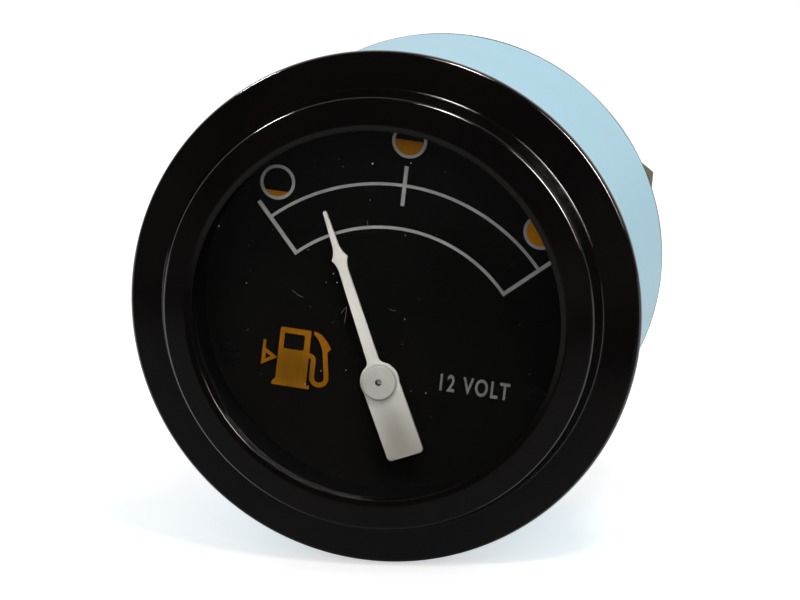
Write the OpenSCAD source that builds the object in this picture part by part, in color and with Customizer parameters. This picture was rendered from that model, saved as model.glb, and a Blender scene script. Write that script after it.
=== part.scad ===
// A panel fuel gauge for a 52 mm hole: stepped bezel, flat glass, black dial with a
// low pivot, crossed-coil movement, drawn case, terminals and clamp studs behind.
// The face looks along -Y and +Z is up. The origin is on the axis of the barrel,
// in the plane where the bezel seats on a panel.

/* [Bezel] */
// How far the bezel stands out beyond the barrel
bezel_overhang = 4; // [3.6:0.1:8]
// Thickness of the bezel's sheet
bezel_sheet = 0.6; // [0.5:0.05:0.7]
// Radius of the rolled outer edge
edge_round = 0.8; // [0.7:0.05:0.9]
// How far the foot of the step lies inside the barrel's radius
step_foot_in = 0.1; // [-0.2:0.05:0.2]
// How far the step leans in from its foot to its top
step_lean = 0.7; // [0.5:0.05:0.9]
// Height of the step
step_h = 2.9; // [2.4:0.1:3.4]
// Width of the band between the step and the rolled lip
band_w = 2.8; // [2.4:0.1:3]
// Width of the rolled lip over the glass
lip_w = 0.8; // [0.7:0.05:1]
// Rise from the top of the step to the lip
lip_rise = 1.3; // [0.8:0.1:1.6]
// Height of the lip over the glass
lip_h = 2; // [1.7:0.1:2.4]
// Width of the gap between the barrel and the turned-in edge
crimp_gap = 1.2; // [0.6:0.1:1.8]
// Rounding at the foot of the step
step_foot_round = 0.4; // [0.2:0.05:0.6]
// Rounding at the top of the step
step_top_round = 0.55; // [0.3:0.05:0.8]
// Rounding of the lip's outer side
lip_round = 0.7; // [0.4:0.05:0.9]
// Rounding of the lip's inner side
window_round = 0.38; // [0.2:0.02:0.4]
// Rounding of the edge that bears on the glass
tip_round = 0.1; // [0.05:0.01:0.15]

/* [Glass and seal] */
// Gap between the edge of the glass and the bezel
glass_gap = 0.4; // [0.2:0.05:0.8]
// Thickness of the glass
glass_t = 1.8; // [1.4:0.1:2]
// Bevel of the edge of the glass
glass_bevel = 0.2; // [0.1:0.05:0.3]
// Thickness of the rubber ring behind the glass
gasket_t = 1.3; // [1:0.1:1.6]
// Width of the rubber ring
gasket_w = 1.6; // [1:0.1:1.8]
// How far the opening of the shroud ring stands back from the bezel's opening
shroud_set_back = 0.5; // [0.2:0.1:0.8]
// Wall of the shroud ring
shroud_wall = 1; // [0.7:0.1:1.2]
// Thickness of the shroud ring's flange
shroud_flange_t = 0.6; // [0.4:0.1:0.8]

/* [Case] */
// Outer radius of the barrel
case_r = 26; // [26:0.05:26.3]
// Thickness of the case's sheet
case_wall = 0.7; // [0.5:0.05:0.8]
// Depth of the case behind the panel seat
case_depth = 38.2; // [37:0.2:46]
// Radius of the rounded rear edge
case_corner = 1; // [0.9:0.1:1.4]
// Width of the case's front flange
flange_w = 2.2; // [1.8:0.1:2.4]

/* [Dial] */
// Gap between the dial plate and the barrel's wall
dial_gap = 0.6; // [0.4:0.1:1.3]
// Thickness of the dial plate
dial_t = 0.6; // [0.4:0.1:1]
// Depth of the dial behind the shroud ring's flange
dial_depth = 4.6; // [4:0.1:5.5]
// How far the dial and movement are turned clockwise in the case, degrees
dial_turn = 6.5; // [-10:0.5:10]
// How far the pivot lies below the middle of the dial
pivot_drop = 9.1; // [8.5:0.1:9.5]
// How far the pivot lies to the right of the middle of the dial
pivot_side = 0.1; // [-0.2:0.05:0.2]
// Radius of the hole for the spindle
dial_hole_r = 1.5; // [1.3:0.1:2]
// Level distance of each dial screw inside the shroud ring's opening
screw_inset = 3.9; // [3.5:0.1:4.1]
// How far the dial screws lie below the middle of the dial
screw_drop = 8.7; // [8.2:0.1:9.2]
// Radius of a dial screw's head
screw_head_r = 1.1; // [0.9:0.05:1.4]
// Thickness of a dial screw's head
screw_head_t = 0.4; // [0.3:0.05:0.6]
// Radius of a dial screw's shank
screw_shank_r = 0.7; // [0.5:0.05:0.8]
// Length of a dial screw's shank
screw_l = 2.6; // [2:0.1:2.8]
// Depth a dial screw's head is let into the dial
screw_sink = 0.2; // [0.1:0.05:0.25]

/* [Print] */
// Thickness of the print
print_t = 0.1; // [0.05:0.05:0.2]
// Width of the printed lines
line_w = 0.45; // [0.3:0.05:0.6]
// How far the middle of the arcs lies below the middle of the dial
scale_drop = 8.7; // [8.5:0.1:9.1]
// How far the marks reach past the shroud ring's opening, from the middle of the arcs
mark_reach = 2.65; // [2:0.05:2.9]
// How far the marks reach past the outer arc
mark_over = 2.3; // [2:0.05:2.6]
// Distance from the inner arc to the outer arc
arc_band = 5.1; // [4.6:0.05:5.6]
// Length of the mark for half
half_mark_l = 4.7; // [4:0.1:5.5]
// Angle of the empty mark, left of upright
empty_angle = -42.8; // [-46:0.1:-38]
// Angle of the full mark, right of upright
full_angle = 48.3; // [44:0.1:50]
// Outer radius of a level circle
level_r = 2.1; // [1.8:0.05:2.3]
// How far the middle of the half circle lies past the marks
half_circle_over = 3; // [2.7:0.05:3.2]
// How far the middles of the two side circles lie past the marks
side_circle_over = 0.7; // [0.4:0.05:1]
// Angle of the empty circle
empty_circle_angle = -35.7; // [-37:0.1:-34]
// Angle of the full circle
full_circle_angle = 40.3; // [39:0.1:42]
// Level of the liquid in the empty circle, below its middle
empty_level = 0.98; // [0.6:0.05:1.4]

/* [Pump symbol] */
// How far the symbol lies left of the dial's upright line
pump_left = 10.75; // [10.4:0.05:11]
// How far the symbol's foot lies below the middle of the dial
pump_drop = 11.8; // [11.4:0.1:12]
// Width of the pump
pump_w = 3.65; // [3.2:0.05:3.8]
// Height of the symbol
pump_h = 6.9; // [6.5:0.1:7.2]
// Height of the pump's foot
pump_foot_h = 0.4; // [0.3:0.05:0.6]
// How far the foot stands out on each side
pump_foot_out = 0.4; // [0.3:0.05:0.5]
// Width of the pump's window
pump_glass_w = 2.42; // [2:0.05:2.6]
// Height of the pump's window
pump_glass_h = 1.86; // [1.5:0.05:2.2]
// Width of the frame above the window
pump_frame = 0.63; // [0.4:0.05:0.8]
// Width of the hose
hose_w = 0.56; // [0.4:0.02:0.6]
// Radius of the hose's lower bend
hose_bend_r = 0.87; // [0.8:0.02:1]

/* [Pointer] */
// Angle of the pointer from upright in the photographed state
pointer_angle = -18.2; // [-30:0.1:30]
// Length of the pointer from pivot to tip
pointer_l = 20.85; // [19:0.05:21]
// Thickness of the pointer
pointer_t = 0.5; // [0.4:0.05:0.7]
// Gap between the pointer and the dial
pointer_gap = 2; // [1.7:0.1:2.1]
// Width of the arm at the boss
arm_w = 1.42; // [1.1:0.02:1.8]
// Width of the arm below the barb
arm_neck_w = 1.1; // [0.9:0.05:1.2]
// Distance from pivot to the foot of the barb
barb_foot = 13.8; // [13:0.1:14.5]
// Distance from pivot to the widest place of the barb
barb_mid = 15.1; // [14.8:0.1:15.5]
// Width of the barb
barb_w = 1.93; // [1.5:0.05:2.2]
// Distance from pivot to the head of the barb
barb_head = 16.4; // [16:0.1:17]
// Width of the needle above the barb
needle_w = 0.76; // [0.6:0.02:0.9]
// Width of the tip
tip_w = 0.44; // [0.3:0.02:0.6]
// Radius of the round plate under the boss
hub_r = 2.3; // [2.1:0.05:2.6]
// Width of the tail
tail_w = 4.4; // [4:0.1:4.6]
// Length of the tail from the pivot
tail_l = 9.1; // [8:0.1:10]
// Radius of the tail's corners
tail_round = 0.5; // [0.3:0.1:1]
// Radius of the boss
boss_r = 2; // [1.7:0.05:2]
// Height of the boss over the pointer
boss_h = 0.7; // [0.5:0.05:0.9]
// Radius of the boss's sleeve behind the pointer
boss_sleeve_r = 1.1; // [0.9:0.05:1.15]
// Gap between the boss's sleeve and the dial
boss_sleeve_gap = 0.5; // [0.4:0.1:0.8]
// Radius of the small hole in the boss
boss_hole_r = 0.3; // [0.2:0.05:0.4]
// Travel of the pointer beyond the empty mark to its stop, degrees
stop_over_empty = 2.5; // [1:0.5:4]
// Travel of the pointer beyond the full mark to its stop, degrees
stop_over_full = 4; // [1:0.5:5]

/* [Spindle and magnet] */
// Radius of the spindle
spindle_r = 0.6; // [0.5:0.05:0.7]
// Radius of the spindle's rear pivot
pivot_tip_r = 0.3; // [0.2:0.05:0.35]
// Radial clearance of the spindle in its bearings
bearing_fit = 0.05; // [0.02:0.01:0.08]
// Radius of the disc magnet
magnet_r = 5.6; // [4.5:0.1:6]
// Clearance all round the disc magnet
magnet_gap = 0.5; // [0.4:0.1:0.8]
// Gap between the dial and the stop arm
stop_arm_gap = 1.2; // [0.8:0.1:1.4]
// Length of the stop arm
stop_arm_l = 6.2; // [5.8:0.1:7]
// Width of the stop arm
stop_arm_w = 1.2; // [1:0.1:1.5]
// Thickness of the stop arm
stop_arm_t = 0.8; // [0.6:0.1:1]
// Radius of the stop arm's hub
stop_hub_r = 1.5; // [1.2:0.1:1.8]
// Radius of each stop pin
stop_pin_r = 0.6; // [0.5:0.05:0.8]
// Distance of the stop pins from the pivot
stop_pitch_r = 5; // [4.8:0.1:5.2]

/* [Movement] */
// Distance from the dial to the bridge plate
bridge_gap = 4.7; // [4.5:0.1:6]
// Thickness of the bridge plate
bridge_t = 1.2; // [1:0.1:1.6]
// Width of the bridge plate's ears
ear_w = 7; // [6:0.5:8]
// Radius of the front bush's flange
bush_flange_r = 2.4; // [2:0.1:3]
// Thickness of the front bush's flange
bush_flange_t = 0.8; // [0.5:0.1:1]
// Radius of the rear jewel
jewel_r = 1.6; // [1.3:0.1:2]
// Radius of a dial post
post_r = 2; // [1.8:0.1:2.4]
// Radius of the spigots that join pillars and dial posts
spigot_r = 1.25; // [1:0.05:1.4]
// Length of the spigots
spigot_l = 3; // [2.4:0.1:3.2]
// Width of the square bobbin
bobbin_w = 18; // [17:0.5:18]
// Thickness of each coil
coil_t = 1.4; // [1:0.1:1.5]
// Width of each half of a coil
coil_w = 4.5; // [4:0.1:4.6]
// Distance from a coil half to the pivot line
coil_slot = 1.6; // [1.5:0.1:2]
// Clearance between parts that only lie side by side
side_gap = 0.3; // [0.2:0.05:0.4]
// Gap between the corners of the outer coil and the shield can
shield_gap = 0.45; // [0.3:0.05:0.8]
// Thickness of the shield can's sheet
shield_wall = 0.6; // [0.5:0.1:0.8]
// Radius of the movement screws' shanks
small_screw_r = 0.7; // [0.5:0.05:0.8]
// Radius of the movement screws' heads
small_head_r = 1.3; // [1.1:0.1:1.5]
// Thickness of the movement screws' heads
small_head_t = 0.8; // [0.5:0.1:1.2]
// Length of the movement screws in the bobbin
small_screw_l = 5; // [4:0.5:6]
// Length of the return magnet
return_l = 4; // [3:0.5:5]
// Thickness of the return magnet
return_t = 1.5; // [1:0.1:1.8]

/* [Back of the case] */
// Distance from the shield can to the circuit board
movement_gap = 4.2; // [3.4:0.1:6]
// Radius of a rear pillar
pillar_r = 2.3; // [2.2:0.1:2.6]
// Radius of the terminal and clamp studs
stud_r = 2; // [1.9:0.05:2.1]
// Width across the flats of the stud nuts
nut_flats = 7; // [6.8:0.1:7.2]
// Thickness of a stud nut
nut_t = 3.2; // [2.8:0.1:3.4]
// Thickness of a thin fixing nut
thin_nut_t = 2.2; // [1.8:0.1:2.6]
// Radius of a plain washer
washer_r = 4; // [3.8:0.1:4.2]
// Thickness of a plain washer
washer_t = 0.6; // [0.5:0.05:1]
// Radius of a spring washer
spring_washer_r = 3.6; // [3.4:0.1:3.8]
// Thickness of a spring washer
spring_washer_t = 0.9; // [0.7:0.05:1.1]
// Width of the split in a spring washer
washer_split = 0.5; // [0.3:0.1:0.8]
// Width of the undercut behind the threads
groove_w = 1; // [0.8:0.1:1.4]
// Depth of the undercut behind the threads
groove_depth = 0.3; // [0.2:0.05:0.4]
// Radial clearance of nuts on their studs
thread_fit = 0.05; // [0.02:0.01:0.08]
// Radial clearance of washers on their studs
washer_fit = 0.3; // [0.2:0.05:0.4]
// How far the clamp studs stand out of the case
clamp_stud_l = 14.8; // [13:0.2:20]
// Radius of a knurled clamp nut
knurl_r = 4.5; // [4.2:0.1:4.8]
// Length of a knurled clamp nut
knurl_l = 4.5; // [4:0.1:5]
// Number of knurls round a clamp nut
knurls = 24; // [16:1:32]
// Depth of the knurls
knurl_depth = 0.25; // [0.15:0.05:0.35]
// Length of the plain collar of a clamp nut
collar_l = 0.8; // [0.6:0.1:1.2]
// Distance from the middle of each terminal to the edge of the circuit board
terminal_inset = 4; // [3.8:0.1:4.6]
// Angle of the first terminal from the dial's level line
terminal_angle = 25.4; // [20:0.1:30]
// How far the terminal studs stand out of the case
terminal_l = 13.4; // [12.6:0.2:18]
// Radius of the insulating bushes between board and case
bush_r = 3.3; // [3:0.1:3.6]
// Radius of the bushes' noses in the case holes
bush_nose_r = 2.7; // [2.5:0.05:2.9]
// Radius of the outer insulating washers
insulator_r = 4.2; // [3.9:0.1:4.3]
// Thickness of the outer insulating washers
insulator_t = 1.2; // [0.9:0.1:1.5]
// Width across the flats of the terminal studs' inner heads
stud_head_flats = 6.2; // [5.6:0.1:7]
// Thickness of the terminal studs' inner heads
stud_head_t = 1.8; // [1.4:0.1:2.2]

/* [Circuit] */
// Gap between the circuit board and the barrel's wall
board_side_gap = 0.7; // [0.4:0.1:1]
// Thickness of the circuit board
board_t = 1.6; // [1.2:0.1:2]
// Distance from the board to the rear wall of the case
board_gap = 4.9; // [4.5:0.1:5.5]
// Radius of the ballast resistor
resistor_r = 1.25; // [1:0.05:1.4]
// Length of the ballast resistor
resistor_l = 8; // [6:0.5:10]
// How far the ballast resistor lies below the middle of the board
resistor_drop = 2; // [0:0.5:4]
// Radius of the coil leads
lead_r = 0.35; // [0.25:0.05:0.45]

/* [Lamp] */
// Distance from the lamp's middle to the edge of the circuit board
lamp_inset = 11.6; // [11.2:0.1:12]
// Inner radius of the lamp tube
lamp_tube_r = 5; // [4.8:0.1:5.1]
// Wall of the lamp tube
lamp_tube_wall = 0.5; // [0.4:0.05:0.6]
// Length of the lamp tube inside the case
lamp_tube_l = 12; // [10:0.5:14]
// Radius of the lamp tube's flange
lamp_flange_r = 6.4; // [6.2:0.1:7]
// Thickness of the lamp tube's flange
lamp_flange_t = 0.7; // [0.5:0.05:1]
// Radial clearance of the holder in its tube
holder_fit = 0.08; // [0.05:0.01:0.1]
// Wall of the lamp holder
holder_wall = 1.2; // [1:0.1:1.3]
// Radius of the holder's grip
grip_r = 6.2; // [5.8:0.1:6.8]
// Length of the holder's grip
grip_l = 5.5; // [4.5:0.1:7]
// Number of finger grooves round the grip
grip_grooves = 12; // [8:1:16]
// Radius of the finger grooves
grip_groove_r = 0.7; // [0.4:0.05:0.9]
// Radius of the bulb's metal base
bulb_base_r = 3.6; // [3.2:0.1:3.6]
// Length of the bulb's glass
bulb_glass_l = 9; // [7:0.5:10]
// Radius of the bulb's glass
bulb_glass_r = 3; // [2.6:0.1:3.3]
// Width of the contact tab
tab_w = 6.3; // [4.8:0.1:6.3]
// Thickness of the contact tab
tab_t = 0.8; // [0.6:0.05:1]
// Length of the contact tab behind the holder
tab_l = 7; // [6:0.5:8]
// Radius of the hole in the contact tab
tab_hole_r = 0.8; // [0.5:0.05:1]

/* [Hidden] */
$fn = 96;

// Radii of the shell, all from the barrel's
case_in_r = case_r - case_wall;
flange_r = case_r + flange_w;
crimp_r = case_r + crimp_gap;
bezel_r = case_r + bezel_overhang;
step_foot_r = case_r - step_foot_in;
step_top_r = step_foot_r - step_lean;
lip_r = step_top_r - band_w;
window_r = lip_r - lip_w;
glass_r = step_top_r - bezel_sheet - glass_gap;
gasket_r = glass_r - gasket_w;
shroud_r = window_r + shroud_set_back;
dial_r = case_in_r - dial_gap;
screw_x = shroud_r - screw_inset;
board_r = case_in_r - board_side_gap;
terminal_pitch_r = board_r - terminal_inset;
lamp_rise = board_r - lamp_inset;

// Radii of the print, from the middle of the arcs
mark_out_r = shroud_r + mark_reach;
arc_out_r = mark_out_r - mark_over;
arc_in_r = arc_out_r - arc_band;
half_in_r = mark_out_r - half_mark_l;
half_circle_r = mark_out_r + half_circle_over;
side_circle_r = mark_out_r + side_circle_over;

// Radii of the movement
shield_r = norm([bobbin_w / 2 + coil_t, coil_slot + coil_w]) + shield_gap;
bridge_r = shield_r + shield_wall;
bobbin_corner_r = shield_r - side_gap;

// Depths along Y, from the panel seat. The rear is positive.
flange_back_y = -bezel_sheet;
flange_y = flange_back_y - case_wall;
shroud_y = flange_y - shroud_flange_t;
gasket_y = shroud_y - gasket_t;
glass_y = gasket_y - glass_t;
lip_y = glass_y - lip_h;
step_top_y = lip_y + lip_rise;
step_foot_y = step_top_y + step_h;
dial_y = flange_y + dial_depth;
dial_back_y = dial_y + dial_t;
pointer_back_y = dial_y - pointer_gap;
pointer_y = pointer_back_y - pointer_t;
boss_y = pointer_y - boss_h;
spindle_y = pointer_y - boss_h / 2;
stop_y = dial_back_y + stop_arm_gap;
bridge_y = dial_back_y + bridge_gap;
bridge_back_y = bridge_y + bridge_t;
outer_coil_y = bridge_back_y + side_gap;
inner_coil_y = outer_coil_y + coil_t;
bobbin_y = inner_coil_y + coil_t;
case_wall_y = case_depth - case_wall;
board_back_y = case_wall_y - board_gap;
board_y = board_back_y - board_t;
shield_back_y = board_y - movement_gap;
shield_floor_y = shield_back_y - shield_wall;
outer_coil_back_y = shield_floor_y - side_gap;
inner_coil_back_y = outer_coil_back_y - coil_t;
bobbin_back_y = inner_coil_back_y - coil_t;
bobbin_mid_y = (bobbin_y + bobbin_back_y) / 2;
bobbin_wall = (bobbin_back_y - bobbin_y) / 4;
magnet_room = 2 * bobbin_wall;
magnet_t = magnet_room - 2 * magnet_gap;
magnet_y = bobbin_y + bobbin_wall + magnet_gap;
jewel_l = bobbin_wall - 2 * side_gap;
jewel_y = bobbin_back_y - side_gap - jewel_l;
stud_head_y = board_y - stud_head_t;
pillar_nut_y = case_depth + washer_t;
clamp_y = pillar_nut_y + thin_nut_t + thread_fit;
clamp_nut_y = clamp_y + spring_washer_t;
terminal_washer_y = case_depth + insulator_t;
terminal_nut_y = terminal_washer_y + washer_t;
lock_washer_y = terminal_nut_y + nut_t;
wire_nut_y = lock_washer_y + spring_washer_t + side_gap;
stud_free_y = clamp_nut_y + knurl_l;
stud_end_y = case_depth + clamp_stud_l;
terminal_free_y = wire_nut_y + nut_t;
terminal_end_y = case_depth + terminal_l;
lamp_y = case_depth - lamp_tube_l;
grip_y = case_depth + lamp_flange_t;
grip_back_y = grip_y + grip_l;

// Places in the dial's own upright frame
pivot = [pivot_side, -pivot_drop];
screw_places = [[-screw_x, -screw_drop], [screw_x, -screw_drop]];
terminal_places = [for (i = [0:2])
    terminal_pitch_r * [cos(terminal_angle + 120 * i), sin(terminal_angle + 120 * i)]];
lamp = [0, lamp_rise];
level_places = [
    on_scale(side_circle_r, empty_circle_angle),
    on_scale(half_circle_r, 0),
    on_scale(side_circle_r, full_circle_angle)
];
post_edge = coil_slot + coil_w + side_gap;
post_mid = (post_edge + bobbin_w / 2) / 2;
movement_screw_places = [[post_mid, post_mid], [-post_mid, -post_mid]];
// Each coil lead: its place round the pivot and the depth at which it leaves its coil
lead_reach = coil_slot + coil_w / 2;
leads = [
    [[-lead_reach, 0], inner_coil_back_y], [[0, lead_reach], outer_coil_back_y],
    [[lead_reach, 0], inner_coil_back_y]
];
rest_angle = pointer_angle - dial_turn;
stop_low = empty_angle - stop_over_empty;
stop_high = full_angle + stop_over_full;
stop_reach = asin((stop_pin_r + stop_arm_w / 2 + side_gap) / stop_pitch_r);
stop_pin_angles = [stop_low - stop_reach, stop_high + stop_reach];
front_bush_r = coil_slot - side_gap / 2;
groove_r = stud_r - groove_depth;

// Overshoot of every cut
cut = 1;

// Stands a flat outline, drawn as seen from the front, in the plane y, t thick to the rear
module plate(y, t) {
    translate([0, y + t, 0])
        rotate([90, 0, 0])
            linear_extrude(height = t)
                children();
}

// Turns the dial and all that is fixed behind it in the case
module set_in_case() {
    rotate([0, dial_turn, 0])
        children();
}

// Moves to a place in the dial's upright frame
module at(place) {
    translate([place[0], 0, place[1]])
        children();
}

// A round bar along Y
module bar(r, y, l) {
    translate([0, y, 0])
        rotate([-90, 0, 0])
            cylinder(r = r, h = l);
}

// A cutter for a round hole through l of material behind y
module bore(r, y, l) {
    bar(r, y - cut, l + 2 * cut);
}

// A round bar along Y with a hole of radius hole
module tube(r, hole, y, l) {
    difference() {
        bar(r, y, l);
        bore(hole, y, l);
    }
}

// A hexagonal nut along Y with chamfered corners
module nut(flats, hole, y, l) {
    corner = flats / sqrt(3);
    chamfer = corner - flats / 2;
    difference() {
        intersection() {
            translate([0, y, 0])
                rotate([-90, 30, 0])
                    cylinder(r = corner, h = l, $fn = 6);
            turned([
                [0, y], [flats / 2, y], [corner, y + chamfer / 2],
                [corner, y + l - chamfer / 2], [flats / 2, y + l], [0, y + l]
            ]);
        }
        bore(hole, y, l);
    }
}

// A body of revolution round Y from an outline of [radius, y] points
module turned(outline) {
    rotate([-90, 0, 0])
        rotate_extrude($fn = 160)
            polygon(outline);
}

function unit(v) = v / norm(v);

function turn_of(a, b) = let (d = b - a) d > 180 ? d - 360 : d < -180 ? d + 360 : d;

// The points of a rounded corner at p, between its neighbours a and b
function corner_arc(a, p, b, r) =
    r == 0 ? [p] :
    let (
        u = unit(a - p),
        v = unit(b - p),
        half = acos(u * v) / 2,
        start = p + u * r / tan(half),
        end = p + v * r / tan(half),
        mid = p + unit(u + v) * r / sin(half),
        first = atan2(start[1] - mid[1], start[0] - mid[0]),
        last = atan2(end[1] - mid[1], end[0] - mid[0]),
        sweep = turn_of(first, last),
        steps = max(3, ceil(abs(sweep) / 15))
    )
    [for (i = [0:steps]) mid + r * [cos(first + sweep * i / steps), sin(first + sweep * i / steps)]];

// A closed outline with each corner rounded by its own radius
function rounded(points, radii) =
    let (n = len(points))
    [for (i = [0:n - 1])
        for (q = corner_arc(points[(i + n - 1) % n], points[i], points[(i + 1) % n], radii[i])) q];

// The corner of a sheet's other face, thickness t to the right of the path a, p, b
function mitre(a, p, b, t) =
    let (
        u = unit(p - a),
        v = unit(b - p),
        side = unit([u[1] + v[1], -u[0] - v[0]])
    )
    p + side * t / (side * [u[1], -u[0]]);

// Pressed ring: rolled outer edge, low band, step, second band and a lip rolled on the glass
module bezel_ring() {
    edge_y = -2 * edge_round;
    face = [
        [bezel_r, 0], [bezel_r, edge_y], [step_foot_r, step_foot_y],
        [step_top_r, step_top_y], [lip_r, lip_y], [window_r, lip_y], [window_r, glass_y]
    ];
    n = len(face);
    back = [for (i = [1:n - 2]) mitre(face[i - 1], face[i], face[i + 1], bezel_sheet)];
    outer = 0.98 * edge_round;
    inner = edge_round - bezel_sheet;
    lip_back = max(lip_round - bezel_sheet, 0);
    color([0.06, 0.05, 0.05])
        turned(rounded(
            concat(
                [[crimp_r, 0]], face,
                [[window_r + bezel_sheet, glass_y]],
                [for (i = [len(back) - 1:-1:0]) back[i]],
                [[bezel_r - bezel_sheet, -bezel_sheet], [crimp_r, -bezel_sheet]]
            ),
            [
                0, outer, outer, step_foot_round, step_top_round, lip_round, window_round,
                tip_round, tip_round, 0, lip_back, 0, step_foot_round + bezel_sheet,
                inner, inner, 0
            ]
        ));
}

// Flat clear glass with a ground edge
module lens_glass() {
    rim = glass_r - glass_bevel;
    color([0.8, 0.85, 0.85, 0.3])
        turned([
            [0, glass_y], [rim, glass_y], [glass_r, glass_y + glass_bevel],
            [glass_r, gasket_y - glass_bevel], [rim, gasket_y], [0, gasket_y]
        ]);
}

// Rubber ring between glass and shroud
module lens_gasket() {
    color([0.08, 0.08, 0.08])
        tube(glass_r, gasket_r, gasket_y, gasket_t);
}

// Black ring that shades the dial and presses it home
module shroud_ring() {
    wall_r = shroud_r + shroud_wall;
    color([0.07, 0.07, 0.07])
        turned([
            [shroud_r, shroud_y], [step_foot_r, shroud_y], [step_foot_r, flange_y],
            [wall_r, flange_y], [wall_r, dial_y], [shroud_r, dial_y]
        ]);
}

// Deep drawn can with a front flange and a flat rear wall
module case_shell() {
    color([0.67, 0.83, 0.89])
        difference() {
            turned(rounded(
                [
                    [0, case_wall_y], [case_in_r, case_wall_y], [case_in_r, flange_y],
                    [flange_r, flange_y], [flange_r, flange_back_y], [case_r, flange_back_y],
                    [case_r, case_depth], [0, case_depth]
                ],
                [0, case_corner - case_wall, 0, 0.1, 0.1, 0, case_corner, 0]
            ));
            set_in_case() {
                for (place = terminal_places)
                    at(place)
                        bore(bush_nose_r + thread_fit, case_wall_y, case_wall);
                for (place = screw_places)
                    at(place)
                        bore(stud_r + thread_fit, case_wall_y, case_wall);
                at(lamp)
                    bore(lamp_tube_r + lamp_tube_wall, case_wall_y, case_wall);
            }
        }
}

// Round plate with a hole for the spindle and two countersunk screw holes
module dial_plate() {
    color([0.05, 0.05, 0.05])
        difference() {
            bar(dial_r, dial_y, dial_t);
            set_in_case() {
                at(pivot)
                    bore(dial_hole_r, dial_y, dial_t);
                for (place = screw_places)
                    at(place) {
                        bore(screw_shank_r + thread_fit, dial_y, dial_t);
                        bar(screw_head_r + thread_fit, dial_y - cut, cut + screw_sink);
                    }
            }
        }
}

// Two small black slotted screws that hold the dial on its posts
module dial_screws() {
    slot_w = screw_head_r / 3;
    seat_y = dial_y + screw_sink;
    color([0.1, 0.1, 0.1])
        set_in_case()
            for (place = screw_places)
                at(place) {
                    bar(screw_shank_r, seat_y, screw_l);
                    difference() {
                        bar(screw_head_r, seat_y - screw_head_t, screw_head_t);
                        translate([-screw_head_r, seat_y - screw_head_t - cut, -slot_w / 2])
                            cube([2 * screw_head_r, cut + screw_head_t / 2, slot_w]);
                    }
                }
}

// A printed line from a to b with square ends
module line(a, b, w) {
    d = b - a;
    translate(a)
        rotate(atan2(d[1], d[0]))
            translate([0, -w / 2])
                square([norm(d), w]);
}

// A point at radius r and angle a right of upright, from the middle of the arcs
function on_scale(r, a) = [r * sin(a), r * cos(a) - scale_drop];

// A printed arc about the middle of the scale, from the empty mark to the full mark
module scale_arc(r) {
    reach = 2 * r;
    intersection() {
        translate(on_scale(0, 0))
            difference() {
                circle(r = r + line_w / 2, $fn = 240);
                circle(r = r - line_w / 2, $fn = 240);
            }
        polygon([
            on_scale(0, 0), on_scale(reach, empty_angle), on_scale(reach, 0),
            on_scale(reach, full_angle)
        ]);
    }
}

// Grey-white print: two arcs, three marks and the rims of the level circles
module scale_marks() {
    color([0.6, 0.6, 0.58])
        set_in_case()
            plate(dial_y - print_t, print_t) {
                union() {
                    scale_arc(arc_in_r);
                    scale_arc(arc_out_r);
                    for (a = [empty_angle, full_angle])
                        line(on_scale(arc_in_r - line_w / 2, a), on_scale(mark_out_r, a), line_w);
                    line(on_scale(half_in_r, 0), on_scale(mark_out_r, 0), line_w);
                }
                for (place = level_places)
                    translate(place)
                        intersection() {
                            difference() {
                                circle(r = level_r);
                                circle(r = level_r - line_w);
                            }
                            translate(-place)
                                circle(r = dial_r);
                        }
            }
}

// The liquid in a level circle, up to height level over its middle
module liquid(place, level) {
    r = level_r - line_w;
    intersection() {
        translate(place)
            circle(r = r);
        translate([place[0] - r, place[1] - r])
            square([2 * r, r + level]);
        circle(r = dial_r);
    }
}

// The pump of the pump symbol: body with a window, on a foot
module pump_body() {
    half = pump_w / 2;
    foot = half + pump_foot_out;
    difference() {
        polygon(rounded(
            [
                [-half, pump_h], [-half, 2 * pump_foot_h], [-foot, pump_foot_h], [-foot, 0],
                [foot, 0], [foot, pump_foot_h], [half, pump_foot_h], [half, pump_h]
            ],
            [0.25, 0, 0, 0, 0, 0, 0, 0.15]
        ));
        translate([-pump_glass_w / 2 - 0.07, pump_h - pump_frame - pump_glass_h])
            polygon(rounded(
                [[0, 0], [pump_glass_w, 0], [pump_glass_w, pump_glass_h], [0, pump_glass_h]],
                [0.15, 0.25, 0.2, 0.15]
            ));
    }
}

// The hose of the pump symbol, from the pump down, round a bend and up to the nozzle
module pump_hose() {
    half = pump_w / 2;
    left = half + 0.3 + hose_w / 2;
    right = left + 2 * hose_bend_r;
    bend_z = 0.2 + hose_w / 2 + hose_bend_r + pump_foot_h / 2;
    inlet_z = 0.575 * pump_h;
    nozzle_z = 0.67 * pump_h;
    shoulder = 0.5;
    line([half - 0.3, inlet_z], [left - shoulder, inlet_z], hose_w);
    translate([left - shoulder, inlet_z - shoulder])
        intersection() {
            difference() {
                circle(r = shoulder + hose_w / 2);
                circle(r = shoulder - hose_w / 2);
            }
            square(2 * shoulder);
        }
    line([left, inlet_z - shoulder], [left, bend_z], hose_w);
    translate([left + hose_bend_r, bend_z])
        difference() {
            circle(r = hose_bend_r + hose_w / 2);
            circle(r = hose_bend_r - hose_w / 2);
            translate([-2 * hose_bend_r, 0])
                square(4 * hose_bend_r);
        }
    polygon([
        [right - hose_w / 2, bend_z], [right + hose_w / 2, bend_z],
        [right - 0.2, nozzle_z], [right + 0.2, nozzle_z + 0.5],
        [right - 0.45, nozzle_z + 1.4], [right - 1.1, nozzle_z + 2],
        [right - 1.95, pump_h], [right - 2, pump_h - 0.3],
        [right - 1.45, nozzle_z + 1.45], [right - 1, nozzle_z + 0.7],
        [right - 0.75, nozzle_z]
    ]);
}

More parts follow.
